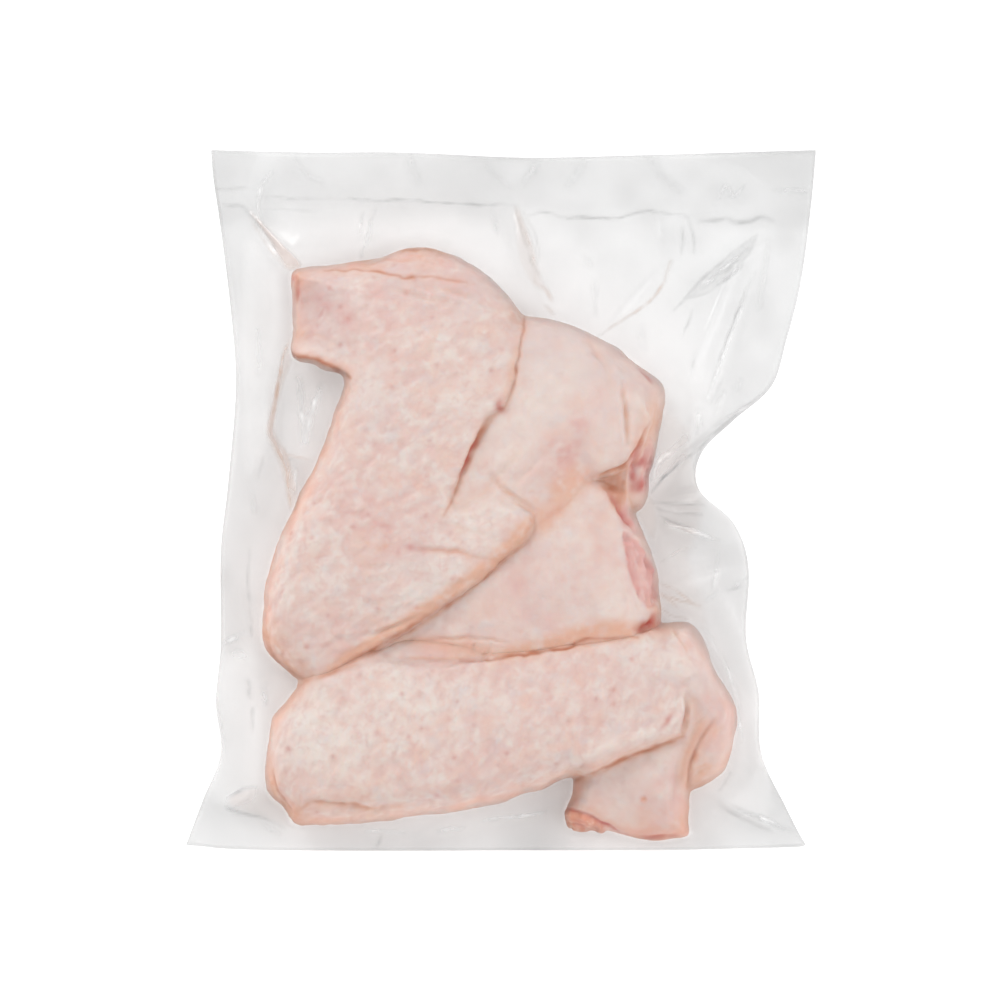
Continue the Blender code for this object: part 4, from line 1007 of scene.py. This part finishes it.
def colour_masks(x, y, z, second):
    """The masks of colour that come from where a point lies, with painted shade in the creases and painted
    light along the rims.
    """
    masks = {mask: np.zeros(x.shape) for mask in (*SKIN_PATCHES, "flesh")}
    patchy = 1 + 0.7 * noise(x, y, z, 4.0, 2.2) + 0.5 * noise(x, y, z, 1.8, 3.1)
    for mask, place, reach, most in each_row(SKIN_PATCHES):
        strength = most * spot(x, y, place, reach) * patchy
        masks[mask] = np.maximum(masks[mask], strength)
    for mask, most, soft, outline in each_row(SKIN_AREAS):
        depth = depth_inside(x, y, curve_through(outline, 2.0, closed=True))
        strength = most * smooth_step(-0.5 * soft, 0.8 * soft, depth)
        masks[mask] = np.maximum(masks[mask], strength * np.clip(patchy, 0, 1.1))
    # Painted shade: where two masses meet, the crease is painted tan and brown.
    unbridged = np.clip(1.6 - bridge_width(x, y) / 3, 0, 1)
    for mask, most, low, high in (("tan", CREASE_SHADE_TAN, -2.3, 0.2), ("brown", CREASE_SHADE_BROWN, -0.7, 0.8)):
        masks[mask] = np.maximum(masks[mask], most * smooth_step(low, high, second) * unbridged)
    depth = plan_value(MEAT_DEPTH, x, y)
    # The peach rim along the outer edges: edge tone, partly painted light on the shaded side walls, more on
    # the left and lower sides and less at the top.
    warm = np.maximum(smooth_step(10, -70, x), smooth_step(-88, -108, y))
    masks["rim"] = (smooth_step(RIM_DEPTH, 0.0, depth) * (0.7 + 0.5 * noise(x, y, z, 7.0, 5.5))
                    * (0.35 + 0.65 * warm) * (1 - 0.6 * smooth_step(20, 70, y)))
    return masks


def make_wing(name, prefix):
    """One wing as a closed mesh with relief and colour masks."""
    names = [mass for mass in WING_MASSES if mass.startswith(prefix)]
    field, low = wing_field(names)
    points, quads = surface_net(field, low, VOXEL)
    points = relaxed(points, quad_edges(quads), RELAX_SHARE, RELAX_PASSES)
    normals = vertex_normals(points, quads)
    x, y, z = points.T.copy()
    masks = colour_masks(x, y, z, second_level(x, y, z))
    gap, strength = nearest_follicle(x, y)
    points = points + normals * skin_relief(x, y, z, gap, strength, masks)[:, None]
    points[:, 2] = np.maximum(points[:, 2], MEAT_FLOOR)
    masks["pore"] = bell(gap, PORE_RADIUS) * smooth_step(*DARK_PORES, strength)
    flats = np.maximum(plan_value(INSIDES["upper_wing_flat"], x, y),
                       plan_value(INSIDES["lower_wing_flat"], x, y))
    masks["pore"] *= 0.3 + 0.7 * smooth_step(0, 6, flats)
    web = smooth_step(0, 10, plan_value(INSIDES["upper_wing_web"], x, y)) * smooth_step(12, 30, y)
    rough = smooth_step(-3, 4, flats)
    masks["mottle"] = (0.55 + 0.45 * rough) * (1 - 0.7 * web * (1 - rough))
    return mesh_object(name, points, quads, {k: np.clip(v, 0, 1) for k, v in masks.items()})


# The film.

FILM_GAP = 0.35
FILM_COLUMNS = 290
FILM_ROWS = 325
UNDER_COLUMNS = 180
UNDER_ROWS = 200
MARGIN_PASSES = 60
FILM_SOLID = {"on meat": 0.02, "margin": 0.2, "outer": 0.025, "edge": 0.12, "painted_film_light": 0.6,
              "film_shade_line": 0.3, "tan": 0.4, "juice": 0.3, "shade": 0.1, "clear": 0.03, "ridge": 0.04,
              "painted_pale_light": 0.16}
MEAT_PASSES = 4
GAP_BELOW = 0.2
MARGIN_WAVES = 0.9
MARGIN_FALL = 1.6
WRINKLE_GAPS = {False: 15, True: 3.5}
FILM_WOBBLE = 0.5
DARK_LINE_LIFT = -0.25
LINE_LIFT = 0.35
HALF_FILM_GAP = 0.12


def top_and_bottom_maps(wings):
    """Plan maps of the wings' highest and lowest points, infinite where there is no meat."""
    highest = np.full(PLAN_X.shape, -np.inf)
    lowest = np.full(PLAN_X.shape, np.inf)
    for wing in wings:
        co = np.empty(len(wing.data.vertices) * 3)
        wing.data.vertices.foreach_get("co", co)
        x, y, z = co.reshape(-1, 3).T / MM
        cell = tuple(np.round((value - low) / PLAN_STEP).astype(int)
                     for value, low in zip((x, y), PLAN_LOW))
        np.maximum.at(highest, cell, z)
        np.minimum.at(lowest, cell, z)
    for _ in range(2):
        highest, lowest = [np.where(np.isfinite(values), values, pick.reduce(neighbours(values)))
                           for values, pick in ((highest, np.maximum), (lowest, np.minimum))]
    return highest, lowest


def margin_height(edge_gap):
    """The middle of the two films in the margins, falling from the meat to the pouch's edge."""
    meat_gap = np.maximum(-MEAT_DEPTH, 0)
    share = meat_gap / np.maximum(meat_gap + np.maximum(edge_gap, 0), 0.1)
    waves = MARGIN_WAVES * np.sin(PLAN_X / 13 + PLAN_Y / 31) * np.sin(PLAN_Y / 17 - PLAN_X / 29)
    return EDGE_HEIGHT + (SEAM_HEIGHT - EDGE_HEIGHT) * (1 - share) ** MARGIN_FALL + waves * share


def pouch_outline():
    """The pouch's edge, clockwise from its upper left corner."""
    sides = [POUCH_TOP, POUCH_RIGHT, POUCH_BOTTOM, POUCH_LEFT]
    return np.vstack([curve_through(side, 2.0)[:-1] for side in sides])


def side_value(side, axis, places):
    """Where a side of the pouch lies, at places along the given axis."""
    samples = curve_through(side, 1.0)
    samples = samples[np.argsort(samples[:, axis], kind="stable")]
    return np.interp(places, samples[:, axis], samples[:, 1 - axis])


def pouch_grid(columns, rows):
    """A grid of places that fills the pouch's outline, with its quads."""
    u, v = np.meshgrid(np.linspace(0, 1, columns + 1), np.linspace(0, 1, rows + 1), indexing="ij")
    level = POUCH_LEFT[0][1] + (POUCH_LEFT[-1][1] - POUCH_LEFT[0][1]) * v
    left, right = side_value(POUCH_LEFT, 1, level), side_value(POUCH_RIGHT[::-1], 1, level)
    x = left + (right - left) * u
    low, high = side_value(POUCH_BOTTOM[::-1], 0, x), side_value(POUCH_TOP, 0, x)
    y = low + (high - low) * v
    number = np.arange((columns + 1) * (rows + 1)).reshape(columns + 1, rows + 1)
    quads = np.column_stack([number[:-1, :-1].ravel(), number[1:, :-1].ravel(),
                             number[1:, 1:].ravel(), number[:-1, 1:].ravel()])
    return x.ravel(), y.ravel(), quads


def film_wrinkles():
    """Curves of the wrinkles that run out from the meat, each with a half width and height."""
    rng = np.random.default_rng(23)
    wrinkles = []
    for start, end, half_width, height in FILM_FOLDS:
        middle = (np.array(start) + np.array(end)) / 2 + rng.uniform(-1.5, 1.5, 2)
        wrinkles.append((curve_through([start, middle, end], 2.0), half_width * FOLD_WIDTH_SHARE,
                         height * FOLD_HEIGHT_SHARE))
    taken = []
    for k in rng.permutation(len(EDGE_SAMPLES)):
        place, outward = EDGE_SAMPLES[k], EDGE_OUTWARD[k]
        busy = place[0] > 55 and -60 < place[1] < 30
        if any(math.dist(place, other) < WRINKLE_GAPS[busy] for other in taken):
            continue
        taken.append(place)
        turn = rng.normal(0, 0.35)
        direction = np.array([outward[0] * math.cos(turn) - outward[1] * math.sin(turn),
                              outward[0] * math.sin(turn) + outward[1] * math.cos(turn)])
        length = rng.uniform(8, 18)
        side = np.array([-direction[1], direction[0]]) * rng.uniform(-2, 2)
        points = [place, place + direction * length * 0.5 + side, place + direction * length]
        wrinkles.append((curve_through(points, 1.5), rng.uniform(0.7, 1.3), rng.uniform(0.2, 0.6)))
    return wrinkles


def film_marks(x, y):
    """Height of the film's wrinkles and lines, and the masks of its tints."""
    lift = np.zeros(x.shape)
    masks = {mask: np.zeros(x.shape) for mask in ("ridge", *FILM_LINES, *FILM_AREAS)}
    for curve, half_width, height in film_wrinkles():
        near, distance, t = near_curve(x, y, curve, 4 * half_width)
        ridge = height * np.sin(math.pi * (0.1 + 0.8 * t)) * bell(distance, half_width)
        lift[near] = np.maximum(lift[near], ridge)
    masks["ridge"] = np.clip(lift / 1.5, 0, 1)
    wobbled_points = wobbled(x, y, FILM_WOBBLE, 4.0)
    broken = 0.8 + 0.5 * flat_noise(x, y, 3.0, 5.9)
    for mask, most, half_width, points in each_row(FILM_LINES):
        near, distance, t = near_curve(*wobbled_points, curve_through(points, 1.5), 5 * half_width)
        taper = np.sin(math.pi * (0.15 + 0.7 * t)) * broken[near] * most
        strength = taper * bell(distance, half_width)
        masks[mask][near] = np.maximum(masks[mask][near], strength)
        lift[near] += strength * (DARK_LINE_LIFT if mask == "film_shade_line" else LINE_LIFT)
    for mask, most, soft, outline in each_row(FILM_AREAS):
        depth = depth_inside(x, y, curve_through(outline, 2.0, closed=True))
        masks[mask] = np.maximum(masks[mask], most * smooth_step(-0.6 * soft, soft, depth))
    return lift, masks


def margin_solid(x, y, to_edge):
    """How solid the film of the margins looks: more so near the edges, where it is crumpled."""
    side = np.maximum(smooth_step(90, 118, y), smooth_step(0, 80, x))
    side = np.maximum(side, smooth_step(-105, -125, y))
    outer = smooth_step(40, 8, to_edge) * (0.15 + 0.85 * side)
    solid = FILM_SOLID["margin"] + FILM_SOLID["outer"] * outer
    solid += FILM_SOLID["edge"] * smooth_step(1.4, 0.3, to_edge)
    return solid * (1 + 0.14 * flat_noise(x, y, 26.0, 2.4) + 0.1 * flat_noise(x, y, 9.0, 6.4))


def make_film(highest, lowest):
    """The upper and the lower sheet of film."""
    edge_gap = depth_inside(PLAN_X, PLAN_Y, pouch_outline())
    middle = margin_height(edge_gap)
    least_top = np.maximum(highest + FILM_GAP, middle + HALF_FILM_GAP)
    most_bottom = np.minimum(lowest - GAP_BELOW, middle - HALF_FILM_GAP)
    top, bottom = least_top.copy(), most_bottom.copy()
    on_meat = MEAT_DEPTH > 4
    for k in range(MARGIN_PASSES):
        slack = (k < MEAT_PASSES) | ~on_meat
        top = np.where(slack, np.maximum(least_top, neighbour_mean(top)), top)
        bottom = np.where(slack, np.minimum(most_bottom, neighbour_mean(bottom)), bottom)
    sheets = []
    for name, columns, rows, heights in (("film_upper", FILM_COLUMNS, FILM_ROWS, top),
                                         ("film_lower", UNDER_COLUMNS, UNDER_ROWS, bottom)):
        x, y, quads = pouch_grid(columns, rows)
        z = plan_value(heights, x, y)
        in_margin = smooth_step(3, -1.5, plan_value(MEAT_DEPTH, x, y))
        lift, masks = film_marks(x, y)
        ripple = 0.1 * flat_noise(x, y, 6.0, 3.3) + 0.3 * flat_noise(x, y, 21.0, 5.5)
        z = np.maximum(z + (lift + ripple) * in_margin, HALF_FILM_GAP)
        solid = margin_solid(x, y, plan_value(edge_gap, x, y))
        if name == "film_upper":
            for mask, values in masks.items():
                solid += FILM_SOLID[mask] * values
        else:
            quads = quads[:, ::-1]
            masks = {mask: values * 0 for mask, values in masks.items()}
        masks["solid"] = FILM_SOLID["on meat"] + (solid - FILM_SOLID["on meat"]) * in_margin
        # The painted pale light is shown as painted highlight.
        masks["painted_film_light"] = np.maximum(masks["painted_film_light"], masks["painted_pale_light"])
        masks = {mask: np.clip(masks[mask], 0, 1)
                 for mask in ("solid", "painted_film_light", "film_shade_line", "tan", "juice")}
        sheets.append(mesh_object(name, np.column_stack([x, y, z]), quads, masks))
    return sheets


# Materials.

LIGHT_LEVEL = 1.38


def tone(red, green, blue):
    """The base colour that looks like this colour, given from 0 to 255, in the scene's light."""
    values = [c / 255 for c in (red, green, blue)]
    linear = [c / 12.92 if c <= 0.04045 else ((c + 0.055) / 1.055) ** 2.4 for c in values]
    return (*[c / LIGHT_LEVEL for c in linear], 1.0)


class Nodes:
    """Short calls for building one material's nodes."""

    def __init__(self, name):
        self.material = bpy.data.materials.new(name)
        self.material.use_nodes = True
        self.tree = self.material.node_tree
        self.shader = self.tree.nodes["Principled BSDF"]

    def new(self, kind, **settings):
        """A new node with the given settings."""
        node = self.tree.nodes.new(kind)
        for key, value in settings.items():
            setattr(node, key, value)
        return node

    def put(self, socket, value):
        """Link an output to the socket, or set the socket's own value."""
        if isinstance(value, bpy.types.NodeSocket):
            self.tree.links.new(value, socket)
        else:
            socket.default_value = value

    def mask(self, name, share=1.0):
        """A mask of the mesh, at the given share of its strength."""
        value = self.new("ShaderNodeAttribute", attribute_name=name).outputs["Fac"]
        return value if share == 1.0 else self.math("MULTIPLY", value, share)

    def noise(self, scale, detail=2.0, roughness=0.5, distortion=0.0):
        """Noise over the object; a higher scale gives finer noise."""
        node = self.new("ShaderNodeTexNoise")
        place = self.new("ShaderNodeTexCoord").outputs["Object"]
        for name, value in (("Vector", place), ("Scale", scale), ("Detail", detail),
                            ("Roughness", roughness), ("Distortion", distortion)):
            self.put(node.inputs[name], value)
        return node.outputs["Fac"]

    def ramp(self, source, low, high, start=0.0, end=1.0):
        """The source, taken smoothly from the range low to high into start to end."""
        node = self.new("ShaderNodeMapRange", interpolation_type="SMOOTHSTEP")
        for name, value in (("Value", source), ("From Min", low), ("From Max", high),
                            ("To Min", start), ("To Max", end)):
            self.put(node.inputs[name], value)
        return node.outputs["Result"]

    def math(self, operation, first, second):
        """The result of an operation on two values."""
        node = self.new("ShaderNodeMath", operation=operation)
        for socket, value in zip(node.inputs, (first, second)):
            self.put(socket, value)
        return node.outputs[0]

    def mix(self, amount, first, second):
        """The first colour with an amount of the second."""
        node = self.new("ShaderNodeMix", data_type="RGBA")
        for socket, value in (("Factor", amount), (6, first), (7, second)):
            self.put(node.inputs[socket], value)
        return node.outputs[2]

    def bump(self, strength, distance, height):
        """Fine relief of the shading."""
        node = self.new("ShaderNodeBump")
        for name, value in (("Strength", strength), ("Distance", distance), ("Height", height)):
            self.put(node.inputs[name], value)
        self.put(self.shader.inputs["Normal"], node.outputs["Normal"])


def skin_material():
    """Raw poultry skin: pale, mottled, with dark pores and blood at the cuts; its tan and brown folds are
    partly painted shade, and its cream and peach rims partly painted light.
    """
    n = Nodes("raw_skin")
    patchy = n.ramp(n.noise(170, 2.0, 0.55), 0.34, 0.66)
    colour = n.mix(patchy, tone(230, 215, 207), tone(227, 198, 189))
    colour = n.mix(n.mask("mottle"), tone(228, 207, 199), colour)
    lilac = n.ramp(n.noise(130, 2.0, 0.5, 0.6), 0.5, 0.75)
    warm = n.ramp(n.noise(95, 2.0, 0.5, 0.4), 0.48, 0.72)
    streaks = n.ramp(n.noise(300, 2.0, 0.5, 0.8), 0.48, 0.74)
    layers = [
        (n.math("MULTIPLY", lilac, 0.55), (214, 203, 203)),
        (n.math("MULTIPLY", warm, 0.55), (230, 193, 178)),
        # Painted shade in the goose skin's furrows.
        (n.mask("furrow_shade", 0.55), (220, 182, 174)),
        (n.mask("lilac", 0.7), (214, 194, 191)),
        # Cream: pale skin and fat, partly painted highlight and painted light.
        (n.mask("cream_and_painted_light", 0.65), (236, 225, 217)),
        (n.mask("pink", 0.7), (224, 181, 173)),
        (n.math("MULTIPLY", streaks, n.mask("mottle", 0.35)), (216, 176, 168)),
        (n.mask("pore", 0.7), (208, 156, 148)),
        # Peach rim: edge tone, partly painted light on the shaded side walls.
        (n.mask("rim", 0.75), (248, 184, 156)),
        (n.mask("flesh", 0.9), (222, 168, 161)),
        (n.mask("orange", 0.9), (226, 150, 122)),
        (n.math("MULTIPLY", streaks, n.mask("orange", 0.8)), (243, 204, 182)),
        (n.math("MULTIPLY", warm, n.mask("flesh", 0.6)), (232, 196, 188)),
        # Tan: skin colour, partly painted shade on edges, folds and creases.
        (n.mask("tan", 0.8), (226, 172, 144)),
        # Brown: crease colour, partly painted shade.
        (n.mask("brown", 0.9), (190, 118, 86)),
        (n.mask("red", 0.9), (190, 76, 64)),
    ]
    for amount, shown_colour in layers:
        colour = n.mix(amount, colour, tone(*shown_colour))
    settings = {"Base Color": colour, "Roughness": n.ramp(n.noise(140, 2.0), 0.3, 0.7, 0.5, 0.65),
                "Subsurface Weight": 0.4, "Subsurface Radius": (1.0, 0.42, 0.28),
                "Subsurface Scale": 0.002}
    for name, value in settings.items():
        n.put(n.shader.inputs[name], value)
    n.bump(0.3, 0.0004, n.noise(520, 2.0, 0.6))
    return n.material


def grey(value):
    """A grey of the given brightness, from 0 to 1."""
    return (value, value, value, 1.0)


def film_material():
    """Clear soft film: faintly grey, with painted highlights whiter on ridges and painted shade in dark
    lines, tinted by juice in some folds.
    """
    n = Nodes("clear_film")
    # The painted highlights turn the film whiter.
    colour = n.mix(n.mask("painted_film_light"), grey(0.22), grey(0.8))
    # Juice and tan tint the film; the dark lines are painted shade.
    for mask, tint in (("juice", tone(214, 190, 178)), ("tan", tone(200, 160, 132)),
                       ("film_shade_line", grey(0.14))):
        colour = n.mix(n.mask(mask), colour, tint)
    settings = {"Base Color": colour, "Roughness": 0.14, "IOR": 1.6, "Alpha": n.mask("solid")}
    for name, value in settings.items():
        n.put(n.shader.inputs[name], value)
    n.bump(0.2, 0.0006, n.noise(220, 1.0))
    return n.material


def floor_material():
    """A plain white studio floor that glows a little, as a light table does."""
    n = Nodes("studio_floor")
    settings = {"Base Color": grey(0.92), "Roughness": 0.9, "Specular IOR Level": 0.0,
                "Emission Color": grey(1.0), "Emission Strength": FLOOR_GLOW}
    for name, value in settings.items():
        n.put(n.shader.inputs[name], value)
    return n.material


# The set.

FLOOR_HALF = 6.0
FLOOR_GLOW = 0.3
WORLD_GLOW = 0.95

# Soft lights: name, place and size in metres, and power in watts.
LIGHTS = [("key", (-1.2, 1.3, 1.5), 0.9, 24), ("fill", (1.5, -0.4, 1.5), 1.2, 16)]
CAMERA_HEIGHT = 3.0
VIEW_WIDTH = 0.4
SENSOR = 36.0
CENTRE_SHIFT = -0.0004


def make_floor():
    """A wide flat floor under the pack."""
    half = FLOOR_HALF / MM
    corners = np.array([(-half, -half, 0), (half, -half, 0), (half, half, 0), (-half, half, 0)])
    floor = mesh_object("floor", corners, np.array([[0, 1, 2, 3]]), {})
    floor.data.materials.append(floor_material())


def make_light(name, place, size, power):
    """A square soft light aimed at the pack."""
    data = bpy.data.lights.new(name, "AREA")
    data.shape = "SQUARE"
    data.size = size
    data.energy = power
    light = bpy.data.objects.new(name, data)
    light.location = place
    light.rotation_euler = (-Vector(place)).to_track_quat("-Z", "Y").to_euler()
    bpy.context.scene.collection.objects.link(light)


def make_set():
    """Floor, lights, surroundings and the camera straight above the pack."""
    scene = bpy.context.scene
    scene.view_settings.view_transform = "Standard"
    make_floor()
    for light in LIGHTS:
        make_light(*light)
    world = bpy.data.worlds.new("studio")
    world.use_nodes = True
    background = world.node_tree.nodes["Background"]
    background.inputs["Color"].default_value = grey(1.0)
    background.inputs["Strength"].default_value = WORLD_GLOW
    scene.world = world
    data = bpy.data.cameras.new("camera")
    data.sensor_width = SENSOR
    data.lens = SENSOR * CAMERA_HEIGHT / VIEW_WIDTH
    camera = bpy.data.objects.new("camera", data)
    camera.location = (CENTRE_SHIFT, 0, CAMERA_HEIGHT)
    scene.collection.objects.link(camera)
    scene.camera = camera


def main():
    make_set()
    wings = [make_wing("upper_wing", "upper_wing"), make_wing("lower_wing", "lower_wing")]
    sheets = make_film(*top_and_bottom_maps(wings))
    skin, film = skin_material(), film_material()
    for pieces, material, slot in ((wings, skin, "raw_skin"), (sheets, film, "clear_film")):
        for piece in pieces:
            piece.data.materials.append(material)
            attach(piece, BODY)
            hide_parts(NODE)


main()
